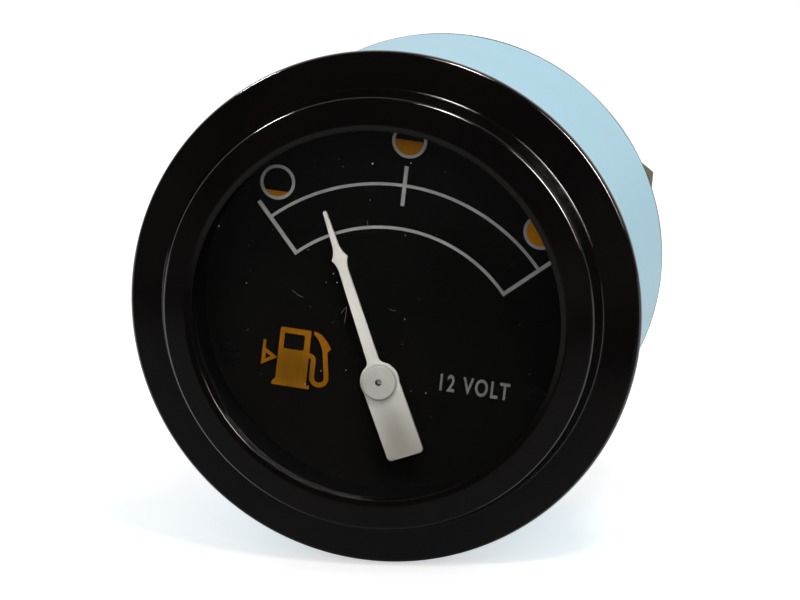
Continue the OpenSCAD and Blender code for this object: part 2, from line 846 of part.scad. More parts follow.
// The tap mark left of the pump: a hollow triangle with a long upright edge
module side_mark() {
    back = -pump_w / 2 - 1.88;
    low = 2.15;
    tall = 2.95;
    apex = [-pump_w / 2 - 0.06, low + 1.08];
    shoulder = low + 1.95;
    difference() {
        polygon([
            [back, low], apex, [back + 0.36, shoulder], [back + 0.32, low + tall],
            [back, low + tall]
        ]);
        polygon([
            [back + 0.42, low + 0.68], [back + 0.42, low + 1.48], [back + 1.08, low + 1.1]
        ]);
    }
}

// Amber print: the liquid in the level circles and the pump symbol
module amber_marks() {
    level = [-empty_level, 0.05, level_r];
    color([0.72, 0.42, 0.02])
        set_in_case()
            plate(dial_y - print_t, print_t) {
                for (i = [0:2])
                    liquid(level_places[i], level[i]);
                translate([-pump_left, -pump_drop]) {
                    pump_body();
                    pump_hose();
                    side_mark();
                }
            }
}

// Moves what turns with the pointer to the pivot, at the pointer's photographed angle
module on_pivot() {
    set_in_case()
        at(pivot)
            rotate([0, rest_angle, 0])
                children();
}

// White pointer: slim arm with a barb, round hub plate and broad tail
module pointer() {
    half = tail_w / 2;
    color([0.85, 0.84, 0.8])
        on_pivot()
            difference() {
                union() {
                    plate(pointer_y, pointer_t)
                        polygon([
                            [-arm_w / 2, 0], [-arm_neck_w / 2, barb_foot], [-barb_w / 2, barb_mid],
                            [-needle_w / 2, barb_head], [-tip_w / 2, pointer_l - tip_w / 2],
                            [0, pointer_l],
                            [tip_w / 2, pointer_l - tip_w / 2], [needle_w / 2, barb_head],
                            [barb_w / 2, barb_mid], [arm_neck_w / 2, barb_foot], [arm_w / 2, 0]
                        ]);
                    bar(hub_r, pointer_y, pointer_t);
                    plate(pointer_y, pointer_t)
                        polygon(rounded(
                            [[-half, 0], [-half, -tail_l], [half, -tail_l], [half, 0]],
                            [0, tail_round, tail_round, 0]
                        ));
                }
                bore(boss_sleeve_r, pointer_y, pointer_t);
            }
}

// Boss that grips the spindle: a low round cap in front and a sleeve behind
module pointer_boss() {
    sleeve_y = dial_y - boss_sleeve_gap;
    color([0.85, 0.84, 0.8])
        on_pivot()
            turned(rounded(
                [
                    [boss_hole_r, boss_y], [boss_r, boss_y], [boss_r, pointer_y],
                    [boss_sleeve_r, pointer_y], [boss_sleeve_r, sleeve_y],
                    [spindle_r, sleeve_y], [spindle_r, spindle_y], [boss_hole_r, spindle_y]
                ],
                [0.1, 0.2, 0, 0, 0, 0, 0, 0]
            ));
}

// Steel spindle with a thin rear pivot
module spindle() {
    shoulder_y = jewel_y - bearing_fit;
    color([0.75, 0.75, 0.77])
        on_pivot() {
            bar(spindle_r, spindle_y, shoulder_y - spindle_y);
            bar(pivot_tip_r, shoulder_y, jewel_l);
        }
}

// Disc magnet, pressed on the spindle inside the bobbin
module disc_magnet() {
    color([0.25, 0.25, 0.27])
        on_pivot()
            tube(magnet_r, spindle_r, magnet_y, magnet_t);
}

// Arm on the spindle that meets the stop pins behind the dial
module stop_arm() {
    color([0.7, 0.6, 0.3])
        on_pivot()
            difference() {
                union() {
                    bar(stop_hub_r, stop_y, 2 * stop_arm_t);
                    translate([-stop_arm_w / 2, stop_y, -stop_arm_l])
                        cube([stop_arm_w, stop_arm_t, stop_arm_l]);
                }
                bore(spindle_r, stop_y, 2 * stop_arm_t);
            }
}

// Two pins in the bridge plate that end the pointer's travel
module stop_pins() {
    front_y = stop_y - side_gap;
    color([0.75, 0.75, 0.77])
        set_in_case()
            at(pivot)
                for (a = stop_pin_angles)
                    rotate([0, a, 0])
                        translate([0, 0, -stop_pitch_r])
                            bar(stop_pin_r, front_y, bridge_y + bridge_t / 2 - front_y);
}

// Steel plate behind the dial: round in the middle, with an ear at each dial post
module bridge_plate() {
    color([0.62, 0.6, 0.5])
        set_in_case()
            difference() {
                union() {
                    at(pivot)
                        bar(bridge_r, bridge_y, bridge_t);
                    translate([-screw_x, bridge_y, -screw_drop - ear_w / 2])
                        cube([2 * screw_x, bridge_t, ear_w]);
                    for (place = screw_places)
                        at(place)
                            bar(ear_w / 2, bridge_y, bridge_t);
                }
                for (place = screw_places)
                    at(place)
                        bore(spigot_r + thread_fit, bridge_y, bridge_t);
                at(pivot) {
                    bore(front_bush_r, bridge_y, bridge_t);
                    for (a = stop_pin_angles)
                        rotate([0, a, 0])
                            translate([0, 0, -stop_pitch_r])
                                bar(stop_pin_r, bridge_y - cut, cut + bridge_t / 2);
                    for (place = movement_screw_places)
                        at(place)
                            bore(small_screw_r + thread_fit, bridge_y, bridge_t);
                }
            }
}

// Brass bush that carries the front of the spindle
module front_bush() {
    flange_front_y = bridge_y - bush_flange_t;
    color([0.8, 0.62, 0.25])
        set_in_case()
            at(pivot)
                difference() {
                    union() {
                        bar(bush_flange_r, flange_front_y, bush_flange_t);
                        bar(front_bush_r, bridge_y, bobbin_y - bridge_y);
                    }
                    bore(spindle_r + bearing_fit, flange_front_y, bobbin_y - flange_front_y);
                }
}

// Jewel that carries the rear pivot of the spindle
module rear_jewel() {
    color([0.75, 0.15, 0.25])
        set_in_case()
            at(pivot)
                tube(jewel_r, pivot_tip_r + bearing_fit, jewel_y, jewel_l);
}

// Two round posts that carry the dial in front of the bridge plate
module dial_posts() {
    color([0.8, 0.62, 0.25])
        set_in_case()
            for (place = screw_places)
                at(place)
                    difference() {
                        bar(post_r, dial_back_y, bridge_gap);
                        bar(screw_shank_r, dial_back_y - cut, cut + screw_l);
                        bar(spigot_r, bridge_y - spigot_l + bridge_t, spigot_l);
                    }
}

// The square outline of the bobbin, cut off at the corners
module bobbin_outline() {
    intersection() {
        square(bobbin_w, center = true);
        circle(r = bobbin_corner_r);
    }
}

// One half of the bobbin from y0 to y1, with four corner posts from post0 to post1
module bobbin_half(y0, y1, post0, post1) {
    plate(y0, y1 - y0)
        bobbin_outline();
    plate(post0, post1 - post0)
        intersection() {
            bobbin_outline();
            for (x = [-1, 1])
                for (z = [-1, 1])
                    scale([x, z])
                        translate([post_edge, post_edge])
                            square(bobbin_w / 2);
        }
}

// Front half of the plastic bobbin; its corner posts stand on the bridge plate
module front_bobbin() {
    color([0.9, 0.88, 0.8])
        set_in_case()
            at(pivot)
                difference() {
                    bobbin_half(bobbin_y, bobbin_mid_y, bridge_back_y, bobbin_mid_y);
                    bar(magnet_r + magnet_gap, magnet_y - magnet_gap, magnet_room);
                    bore(spindle_r + side_gap, bobbin_y, bobbin_wall);
                    for (place = movement_screw_places)
                        at(place)
                            bar(small_screw_r, bridge_back_y - cut, cut + small_screw_l);
                }
}

// Rear half of the plastic bobbin; its corner posts reach the floor of the shield can
module rear_bobbin() {
    color([0.9, 0.88, 0.8])
        set_in_case()
            at(pivot)
                difference() {
                    bobbin_half(bobbin_mid_y, bobbin_back_y, bobbin_mid_y, shield_floor_y);
                    bar(magnet_r + magnet_gap, magnet_y - magnet_gap, magnet_room);
                    bar(jewel_r, jewel_y, cut + bobbin_wall);
                    bar(spindle_r + side_gap, magnet_y, magnet_t + bobbin_wall);
                }
}

// A flat rectangular winding with rounded corners, inner size w by h, t thick
module winding(w, h, t) {
    difference() {
        polygon(rounded(box_points(w / 2 + t, h / 2 + t), [t, t, t, t]));
        polygon(box_points(w / 2, h / 2));
    }
}

function box_points(x, z) = [[-x, -z], [x, -z], [x, z], [-x, z]];

// Inner coil: two halves that loop over the top and bottom of the bobbin
module inner_coil() {
    depth = bobbin_back_y - bobbin_y;
    color([0.72, 0.4, 0.2])
        set_in_case()
            at(pivot)
                for (x = [-coil_slot - coil_w, coil_slot])
                    translate([x, bobbin_mid_y, 0])
                        rotate([90, 0, 90])
                            linear_extrude(height = coil_w)
                                winding(depth, bobbin_w, coil_t);
}

// Outer coil: two halves that loop round the sides of the bobbin, over the inner coil
module outer_coil() {
    depth = inner_coil_back_y - inner_coil_y;
    color([0.78, 0.45, 0.22])
        set_in_case()
            at(pivot)
                for (z = [-coil_slot - coil_w, coil_slot])
                    translate([0, bobbin_mid_y, z])
                        linear_extrude(height = coil_w)
                            winding(bobbin_w, depth, coil_t);
}

// Soft iron can round the coils, with three holes for the coil leads
module shield_can() {
    wall_r = shield_r + shield_wall;
    color([0.6, 0.6, 0.62])
        set_in_case()
            at(pivot)
                difference() {
                    turned([
                        [0, shield_floor_y], [shield_r, shield_floor_y], [shield_r, bridge_back_y],
                        [wall_r, bridge_back_y], [wall_r, shield_back_y], [0, shield_back_y]
                    ]);
                    for (lead = leads)
                        at(lead[0])
                            bore(lead_r + side_gap, shield_floor_y, shield_wall);
                }
}

// Small bar magnet on the bridge plate that draws the pointer back to empty
module return_magnet() {
    color([0.2, 0.2, 0.22])
        set_in_case()
            at(pivot)
                translate([-return_l / 2, bridge_y - return_t, stop_arm_l + return_t])
                    cube([return_l, return_t, return_t]);
}

// Two screws that hold bobbin and shield can to the bridge plate
module movement_screws() {
    color([0.7, 0.7, 0.72])
        set_in_case()
            at(pivot)
                for (place = movement_screw_places)
                    at(place) {
                        bar(small_head_r, bridge_y - small_head_t, small_head_t);
                        bar(small_screw_r, bridge_y, bridge_t + small_screw_l);
                    }
}

// Three enamelled wires from the coils to the circuit board
module coil_leads() {
    color([0.72, 0.4, 0.2])
        set_in_case()
            at(pivot)
                for (lead = leads)
                    at(lead[0])
                        bar(lead_r, lead[1], board_y - lead[1]);
}

// A threaded stud from y0 to y1 with an undercut behind the nuts, at free_y
module grooved_stud(y0, free_y, y1) {
    bar(stud_r, y0, free_y - y0);
    bar(groove_r, free_y, groove_w);
    bar(stud_r, free_y + groove_w, y1 - free_y - groove_w);
}

// Two long pillars from the bridge plate to the rear wall, which end in the clamp studs
module rear_pillars() {
    color([0.72, 0.62, 0.35])
        set_in_case()
            for (place = screw_places)
                at(place) {
                    bar(spigot_r, bridge_y - spigot_l + bridge_t, spigot_l);
                    bar(pillar_r, bridge_back_y, case_wall_y - bridge_back_y);
                    grooved_stud(case_wall_y, stud_free_y, stud_end_y);
                }
}

// Plain washers on the clamp studs, against the case
module pillar_washers() {
    color([0.75, 0.65, 0.4])
        set_in_case()
            for (place = screw_places)
                at(place)
                    tube(washer_r, stud_r + thread_fit, case_depth, washer_t);
}

// Thin nuts that hold the movement in the case
module pillar_nuts() {
    color([0.75, 0.65, 0.4])
        set_in_case()
            for (place = screw_places)
                at(place)
                    nut(nut_flats, stud_r + thread_fit, pillar_nut_y, thin_nut_t);
}

// A split spring washer at y
module spring_washer(y, fit) {
    difference() {
        tube(spring_washer_r, stud_r + fit, y, spring_washer_t);
        translate([-washer_split / 2, y - cut, 0])
            cube([washer_split, spring_washer_t + 2 * cut, 2 * spring_washer_r]);
    }
}

// Spring washer under the left clamp nut
module left_spring_washer() {
    color([0.8, 0.8, 0.8])
        set_in_case()
            at(screw_places[0])
                spring_washer(clamp_y, washer_fit);
}

// Spring washer under the right clamp nut
module right_spring_washer() {
    color([0.8, 0.8, 0.8])
        set_in_case()
            at(screw_places[1])
                spring_washer(clamp_y, washer_fit);
}

// A knurled clamp nut with a plain collar next to its washer
module clamp_nut() {
    collar_r = knurl_r - 2 * knurl_depth;
    notch_w = 2 * sqrt(2) * knurl_depth;
    difference() {
        union() {
            bar(collar_r, clamp_nut_y, knurl_l / 2);
            difference() {
                bar(knurl_r, clamp_nut_y + collar_l, knurl_l - collar_l);
                for (i = [0:knurls - 1])
                    rotate([0, 360 * i / knurls, 0])
                        translate([0, clamp_nut_y, knurl_r + knurl_depth])
                            rotate([0, 45, 0])
                                translate([-notch_w / 2, 0, -notch_w / 2])
                                    cube([notch_w, knurl_l + cut, notch_w]);
            }
        }
        bore(stud_r + thread_fit, clamp_nut_y, knurl_l);
    }
}

// Knurled nut on the left clamp stud
module left_clamp_nut() {
    color([0.78, 0.66, 0.35])
        set_in_case()
            at(screw_places[0])
                clamp_nut();
}

// Knurled nut on the right clamp stud
module right_clamp_nut() {
    color([0.78, 0.66, 0.35])
        set_in_case()
            at(screw_places[1])
                clamp_nut();
}

// Round board in front of the rear wall, carried by the terminal studs
module circuit_board() {
    color([0.55, 0.38, 0.2])
        set_in_case()
            difference() {
                bar(board_r, board_y, board_t);
                for (place = terminal_places)
                    at(place)
                        bore(stud_r + thread_fit, board_y, board_t);
                for (place = screw_places)
                    at(place)
                        bore(pillar_r + side_gap, board_y, board_t);
                at(lamp)
                    bore(lamp_tube_r + lamp_tube_wall + side_gap, board_y, board_t);
            }
}

// Ballast resistor on the front of the board
module ballast_resistor() {
    color([0.75, 0.68, 0.5])
        set_in_case()
            translate([0, board_y - resistor_r, -resistor_drop]) {
                rotate([0, 90, 0])
                    cylinder(r = resistor_r, h = resistor_l, center = true);
                for (side = [-1, 1])
                    translate([side * (resistor_l / 2 - lead_r), 0, 0])
                        bar(lead_r, 0, resistor_r);
            }
}

// Three threaded terminal studs with hexagonal inner heads
module terminal_studs() {
    color([0.75, 0.65, 0.4])
        set_in_case()
            for (place = terminal_places)
                at(place) {
                    translate([0, stud_head_y, 0])
                        rotate([-90, 0, 0])
                            cylinder(r = stud_head_flats / sqrt(3), h = stud_head_t, $fn = 6);
                    grooved_stud(board_y, terminal_free_y, terminal_end_y);
                }
}

// Insulating bushes between board and case, with noses in the case holes
module terminal_bushes() {
    color([0.85, 0.83, 0.76])
        set_in_case()
            for (place = terminal_places)
                at(place)
                    difference() {
                        union() {
                            bar(bush_r, board_back_y, board_gap);
                            bar(bush_nose_r, case_wall_y, case_wall);
                        }
                        bore(stud_r + thread_fit, board_back_y, board_gap + case_wall);
                    }
}

// Insulating washers outside the case
module terminal_insulators() {
    color([0.25, 0.12, 0.08])
        set_in_case()
            for (place = terminal_places)
                at(place)
                    tube(insulator_r, stud_r + thread_fit, case_depth, insulator_t);
}

// Plain washers on the insulating washers
module terminal_washers() {
    color([0.75, 0.65, 0.4])
        set_in_case()
            for (place = terminal_places)
                at(place)
                    tube(washer_r, stud_r + thread_fit, terminal_washer_y, washer_t);
}

// Nuts that hold the terminal studs in the case
module terminal_nuts() {
    color([0.75, 0.65, 0.4])
        set_in_case()
            for (place = terminal_places)
                at(place)
                    nut(nut_flats, stud_r + thread_fit, terminal_nut_y, nut_t);
}

// Spring washers for the wires
module terminal_lock_washers() {
    color([0.8, 0.8, 0.8])
        set_in_case()
            for (place = terminal_places)
                at(place)
                    spring_washer(lock_washer_y, thread_fit);
}

// Outer nuts that clamp the wires; one of them shows past the rear edge of the case
module wire_nuts() {
    color([0.78, 0.66, 0.35])
        set_in_case()
            for (place = terminal_places)
                at(place)
                    nut(nut_flats, stud_r + thread_fit, wire_nut_y, nut_t);
}

// Tube in the rear wall that takes the lamp holder
module lamp_tube() {
    outer_r = lamp_tube_r + lamp_tube_wall;
    color([0.8, 0.8, 0.82])
        set_in_case()
            at(lamp)
                turned([
                    [lamp_tube_r, lamp_y], [outer_r, lamp_y], [outer_r, case_depth],
                    [lamp_flange_r, case_depth], [lamp_flange_r, grip_y], [lamp_tube_r, grip_y]
                ]);
}

// Push-in lamp holder with a ribbed grip
module lamp_holder() {
    body_r = lamp_tube_r - holder_fit;
    body_y = lamp_y + holder_wall;
    color([0.12, 0.12, 0.12])
        set_in_case()
            at(lamp)
                difference() {
                    union() {
                        bar(body_r, body_y, grip_y - body_y);
                        bar(grip_r, grip_y, grip_l);
                    }
                    bar(body_r - holder_wall, lamp_y, grip_y - lamp_y);
                    for (i = [0:grip_grooves - 1])
                        rotate([0, 360 * i / grip_grooves, 0])
                            translate([0, 0, grip_r + grip_groove_r / 2])
                                bore(grip_groove_r, grip_y, grip_l);
                    translate([-tab_w / 2, grip_y - cut, -tab_t / 2])
                        cube([tab_w, grip_l + 2 * cut, tab_t]);
                }
}

// Small bayonet bulb: metal base and round glass
module lamp_bulb() {
    tip_y = lamp_y - bulb_glass_l;
    dome = 0.95 * bulb_glass_r;
    color([0.9, 0.88, 0.8])
        set_in_case()
            at(lamp)
                turned(rounded(
                    [
                        [0, tip_y], [bulb_glass_r, tip_y], [bulb_glass_r, lamp_y],
                        [bulb_base_r, lamp_y], [bulb_base_r, grip_y], [0, grip_y]
                    ],
                    [0, dome, 0, side_gap, side_gap, 0]
                ));
}

// Flat contact tab behind the lamp holder
module lamp_tab() {
    half = tab_w / 2;
    end = grip_l + tab_l;
    corner = tab_w / 6;
    color([0.8, 0.66, 0.35])
        set_in_case()
            at(lamp)
                difference() {
                    translate([0, grip_y, 0])
                        linear_extrude(height = tab_t, center = true)
                            polygon([
                                [-half, 0], [half, 0], [half, end - corner],
                                [half - corner, end], [corner - half, end],
                                [-half, end - corner]
                            ]);
                    translate([0, grip_back_y + tab_l / 2, -tab_t])
                        cylinder(r = tab_hole_r, h = 2 * tab_t);
                }
}

bezel_ring();
lens_glass();
lens_gasket();
shroud_ring();
case_shell();
dial_plate();
dial_screws();
scale_marks();
amber_marks();
pointer();
pointer_boss();
spindle();
disc_magnet();
stop_arm();
bridge_plate();
front_bush();
rear_jewel();
stop_pins();
dial_posts();
front_bobbin();
rear_bobbin();
inner_coil();
outer_coil();
shield_can();
return_magnet();
movement_screws();
coil_leads();
rear_pillars();
pillar_washers();
pillar_nuts();
left_spring_washer();
right_spring_washer();
left_clamp_nut();
right_clamp_nut();
circuit_board();
ballast_resistor();
terminal_studs();
terminal_bushes();
terminal_insulators();
terminal_washers();
terminal_nuts();
terminal_lock_washers();
wire_nuts();
lamp_tube();
lamp_holder();
lamp_bulb();
lamp_tab();
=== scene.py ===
"""A panel fuel gauge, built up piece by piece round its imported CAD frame."""

import math
import random

import bmesh
import bpy
from mathutils import Matrix, Vector


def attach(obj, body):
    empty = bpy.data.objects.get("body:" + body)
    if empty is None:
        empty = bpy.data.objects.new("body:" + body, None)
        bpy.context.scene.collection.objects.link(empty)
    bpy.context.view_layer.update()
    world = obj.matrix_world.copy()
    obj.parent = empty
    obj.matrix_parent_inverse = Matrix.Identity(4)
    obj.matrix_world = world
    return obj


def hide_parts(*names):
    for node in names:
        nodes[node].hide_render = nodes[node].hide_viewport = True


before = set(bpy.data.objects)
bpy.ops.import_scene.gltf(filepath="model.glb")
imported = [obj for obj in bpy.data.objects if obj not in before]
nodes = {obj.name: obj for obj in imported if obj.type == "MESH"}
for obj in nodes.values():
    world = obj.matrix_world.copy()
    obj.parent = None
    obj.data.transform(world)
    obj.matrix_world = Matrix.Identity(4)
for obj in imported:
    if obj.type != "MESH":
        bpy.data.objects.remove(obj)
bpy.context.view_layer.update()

# ---- Studio ----
# A pale table and a white room behind it, a black card on the table before the face, five
# long lamps that only shine on gloss, and two soft lamps that light the dial and the case.
# The camera looks at the face from a little above and to its right.


def linked(name, data):
    """A new object in the scene."""
    thing = bpy.data.objects.new(name, data)
    bpy.context.scene.collection.objects.link(thing)
    return thing


CAMERA_SIDE, CAMERA_RISE = math.radians(11.25), math.radians(10.89)
LOOKED_AT = Vector((0, -0.0008, 0))
camera_back = Vector((
    math.sin(CAMERA_SIDE) * math.cos(CAMERA_RISE),
    -math.cos(CAMERA_SIDE) * math.cos(CAMERA_RISE),
    math.sin(CAMERA_RISE),
))
camera = linked("camera", bpy.data.cameras.new("camera"))
camera.location = LOOKED_AT + camera_back
camera.rotation_mode = "QUATERNION"
camera.rotation_quaternion = (-camera_back).to_track_quat("-Z", "Y")
camera.data.sensor_width = 36
camera.data.lens = 390.1
camera.data.shift_x = 0.0181
camera.data.shift_y = 0.00875
camera.data.clip_end = 20
bpy.context.scene.camera = camera
bpy.context.scene.view_settings.view_transform = "Standard"


def join(value, socket):
    """Links value to a socket, or sets it there when it is a plain number or colour."""
    if isinstance(value, bpy.types.NodeSocket):
        socket.id_data.links.new(value, socket)
    else:
        socket.default_value = value


def node_in(tree, kind, **values):
    """A new shader node; values feed its sockets, or its own settings, by name."""
    node = tree.nodes.new("ShaderNode" + kind)
    for name, value in values.items():
        socket = name.replace("_", " ")
        if socket in node.inputs:
            join(value, node.inputs[socket])
        else:
            setattr(node, name, value)
    return node


def maths(operation, *values):
    """The output of a Math node on sockets and numbers."""
    tree = next(v for v in values if isinstance(v, bpy.types.NodeSocket)).id_data
    node = node_in(tree, "Math", operation=operation)
    for socket, value in zip(node.inputs, values):
        join(value, socket)
    return node.outputs[0]


def ranged(value, low, high, to_low=0.0, to_high=1.0, curve="LINEAR"):
    """value, carried over from low and high to to_low and to_high and held between them."""
    return node_in(value.id_data, "MapRange", interpolation_type=curve, Value=value, From_Min=low,
                   From_Max=high, To_Min=to_low, To_Max=to_high).outputs["Result"]


def vector_maths(operation, a, b):
    """The outputs of a Vector Math node on a socket and a vector."""
    node = node_in(a.id_data, "VectorMath", operation=operation)
    join(a, node.inputs[0])
    join(b, node.inputs[1])
    return node.outputs


def place_in(tree):
    """Where a point lies on a piece, in metres."""
    return node_in(tree, "TexCoord").outputs["Object"]


def parted(vector):
    """The X, Y and Z of a vector."""
    return node_in(vector.id_data, "SeparateXYZ", Vector=vector).outputs


def rays_in(tree):
    """The kinds of ray that meet a surface, and 1 where one comes off or through gloss."""
    ray = node_in(tree, "LightPath").outputs
    return ray, maths("MAXIMUM", ray["Is Glossy Ray"], ray["Is Transmission Ray"])


# The room is white to the camera. Gloss mirrors it as a white that grows from the sides of the
# gauge to behind it, and as dark before its face but for a faint glow over the table. What it
# lends matt surfaces is softer, and less of it comes from before the face.
FRONT_FILL, REAR_FILL = 0.35, 0.85
SIDEWAYS, HAZE = 0.12, 0.035
world = bpy.data.worlds.new("room")
bpy.context.scene.world = world
world.use_nodes = True
world.cycles.sampling_method = "NONE"
tree = world.node_tree
heading = parted(node_in(tree, "TexCoord").outputs["Generated"])
behind = maths("GREATER_THAN", heading["Y"], SIDEWAYS)
white = ranged(heading["Y"], SIDEWAYS, 0.8, curve="SMOOTHSTEP")
haze = ranged(heading["Z"], 0.0, 0.25, HAZE, 0.0, "SMOOTHSTEP")
ray, mirrored = rays_in(tree)
mirrored = maths("MULTIPLY", mirrored, maths("MAXIMUM", white, haze))
bounced = maths("GREATER_THAN", ray["Diffuse Depth"], 0.5)
seen = maths("MULTIPLY", maths("MAXIMUM", ray["Is Camera Ray"], mirrored),
             maths("SUBTRACT", 1.0, bounced))
fill = maths("MULTIPLY_ADD", behind, REAR_FILL - FRONT_FILL, FRONT_FILL)
background = tree.nodes["Background"].inputs
join(maths("MULTIPLY_ADD", bounced, fill, seen), background["Strength"])
join((1, 1, 1, 1), background["Color"])


def material(name, **shine):
    """A new material, its tree and its sockets; shine sets plain values on the sockets."""
    made = bpy.data.materials.new(name)
    made.use_nodes = True
    sockets = made.node_tree.nodes["Principled BSDF"].inputs
    for socket, value in shine.items():
        sockets[socket.replace("_", " ")].default_value = value
    return made, made.node_tree, sockets


def flat_stage(name, place, paint):
    """A square sheet of the stage."""
    bpy.ops.mesh.primitive_plane_add(size=STAGE_SIZE, location=place)
    sheet = bpy.context.object
    sheet.name = name
    sheet.data.materials.append(paint)
    return sheet


STAGE_SIZE, TABLE_Z, CARD_LIFT = 8, -0.0301, 0.00002
SEEN_GLOW, MIRRORED_GLOW = 0.5, 0.22
table_paint, tree, sockets = material(
    "table_paint", Base_Color=(0.8, 0.8, 0.8, 1), Roughness=0.9, Specular_IOR_Level=0,
    Emission_Color=(1, 1, 1, 1))
table_paint.cycles.emission_sampling = "NONE"
ray, mirrored = rays_in(tree)
mirrored = maths("MULTIPLY", mirrored, maths("LESS_THAN", ray["Diffuse Depth"], 0.5))
join(maths("MULTIPLY_ADD", ray["Is Camera Ray"], SEEN_GLOW,
           maths("MULTIPLY", mirrored, MIRRORED_GLOW)), sockets["Emission Strength"])
flat_stage("table_top", (0, 0, TABLE_Z), table_paint)

# The card is black but for a dim glow beside and close to the gauge, which its lower bands
# mirror, and a fainter one far off
NEAR_GLOW, FAR_GLOW = 0.12, 0.035
card_paint, tree, sockets = material(
    "card_paint", Base_Color=(0, 0, 0, 1), Specular_IOR_Level=0, Emission_Color=(1, 1, 1, 1))
card_paint.cycles.emission_sampling = "NONE"
reach = vector_maths("DISTANCE", place_in(tree), (0, STAGE_SIZE / 2, 0))["Value"]
spot = parted(place_in(tree))
before = maths("SUBTRACT", STAGE_SIZE / 2, spot["Y"])
aside = maths("MULTIPLY", maths("ABSOLUTE", spot["X"]), 0.6)
near = ranged(maths("SUBTRACT", before, aside), -0.005, 0.055, NEAR_GLOW, 0.0, "SMOOTHSTEP")
close_by = ranged(reach, 0.08, 0.24, 1.0, 0.0, "SMOOTHSTEP")
far = ranged(reach, 0.12, 0.3, 0.0, FAR_GLOW, "SMOOTHSTEP")
join(maths("MULTIPLY_ADD", near, close_by, far), sockets["Emission Strength"])
card = flat_stage("black_card", (0, -STAGE_SIZE / 2, TABLE_Z + CARD_LIFT), card_paint)
card.visible_camera = card.visible_diffuse = card.visible_shadow = False

# Each lamp stands so many degrees round the face from its right, so many off the axis of the
# face and so many metres away. It lies along the face's rim.
for name, round_face, off_axis, reach, size, power, tint in (
    ("gloss_right", 34, 84, 0.6, (0.44, 0.07), 1.7, (1.0, 0.9, 0.84)),
    ("gloss_right_core", 35, 84, 0.59, (0.24, 0.07), 2.2, (1.0, 0.92, 0.88)),
    ("gloss_top", 79, 93, 0.6, (0.2, 0.06), 0.8, (1.0, 0.92, 0.88)),
    ("gloss_top_core", 78, 93, 0.59, (0.1, 0.06), 1.4, (1.0, 0.95, 0.92)),
    ("gloss_left", 135, 112, 0.6, (0.11, 0.05), 1.2, (1.0, 1.0, 1.0)),
    ("soft_front", 75, 22, 0.8, (0.5, 0.5), 2.0, (1.0, 1.0, 1.0)),
    ("soft_high", 73, 57, 0.8, (0.2, 0.2), 2.2, (1.0, 1.0, 1.0)),
):
    lamp = linked(name, bpy.data.lights.new(name, "AREA"))
    lamp.data.shape = "ELLIPSE"
    lamp.data.size, lamp.data.size_y = size
    lamp.data.energy = power
    lamp.data.color = tint
    lamp.visible_camera = False
    lamp.visible_diffuse = name.startswith("soft")
    lamp.visible_glossy = name.startswith("gloss")
    p, t = math.radians(round_face), math.radians(off_axis)
    back = Vector((math.cos(p) * math.sin(t), -math.cos(t), math.sin(p) * math.sin(t)))
    along = Vector((-math.sin(p), 0, math.cos(p)))
    turn = Matrix((along, back.cross(along), back)).transposed()
    lamp.location = back * reach
    lamp.rotation_mode = "QUATERNION"
    lamp.rotation_quaternion = turn.to_quaternion()

# ---- Bobbin halves ----
# Two nylon mouldings that hold the disc magnet between them and carry the coils. They are
# pressed together over the spindle and screwed to the bridge plate.

MM = 0.001


def srgb(r, g, b):
    """A colour as it looks, 0 to 255, for a shader."""
    return tuple(c / 3294.6 if c <= 10 else ((c / 255 + 0.055) / 1.055) ** 2.4
                 for c in (r, g, b)) + (1.0,)


# Clouds, grain and specks over a finish; the scales are per metre
finish_group = bpy.data.node_groups.new("finish", "ShaderNodeTree")
for name, value in (("Cloud Scale", 120), ("Grain Scale", 2500), ("Speck Scale", 1500),
                    ("Speck Size", 0)):
    finish_group.interface.new_socket(
        name, in_out="INPUT", socket_type="NodeSocketFloat").default_value = value
for name in ("Clouds", "Grain", "Specks"):
    finish_group.interface.new_socket(name, in_out="OUTPUT", socket_type="NodeSocketFloat")
given = finish_group.nodes.new("NodeGroupInput").outputs
results = finish_group.nodes.new("NodeGroupOutput").inputs
where = place_in(finish_group)
for scale, result, octaves in (("Cloud Scale", "Clouds", 4), ("Grain Scale", "Grain", 2)):
    noise = node_in(finish_group, "TexNoise", Detail=octaves, Vector=where, Scale=given[scale])
    join(noise.outputs["Fac"], results[result])
cells = node_in(finish_group, "TexVoronoi", Vector=where, Scale=given["Speck Scale"])
join(maths("LESS_THAN", cells.outputs["Distance"], given["Speck Size"]), results["Specks"])


def detail_in(tree, clouds=120, grain=2500, speck_scale=1500, speck_size=0.0):
    """The clouds, grain and specks of a finish."""
    group = node_in(tree, "Group", node_tree=finish_group, Cloud_Scale=clouds,
                    Grain_Scale=grain, Speck_Scale=speck_scale, Speck_Size=speck_size)
    return group.outputs["Clouds"], group.outputs["Grain"], group.outputs["Specks"]


def uneven(noise, low=0.0, high=1.0):
    """low where a noise is at its least, about 0.3, and high at its most, about 0.7."""
    return ranged(noise, 0.3, 0.7, low, high)


def blended(share, *colours):
    """A colour between two; each is a socket, a shader's colour or (red, green, blue)."""
    node = node_in(share.id_data, "Mix", data_type="RGBA", Factor=share)
    for socket, colour in zip(node.inputs[6:8], colours):
        plain = not isinstance(colour, bpy.types.NodeSocket) and len(colour) == 3
        join(srgb(*colour) if plain else colour, socket)
    return node.outputs[2]


def coat(tree, sockets, colour, rough, grain, depth):
    """Gives a material its colour, its roughness and grain depth mm deep."""
    join(colour, sockets["Base Color"])
    join(rough, sockets["Roughness"])
    bump = node_in(tree, "Bump", Distance=depth * MM, Height=grain)
    join(bump.outputs["Normal"], sockets["Normal"])
    return bump


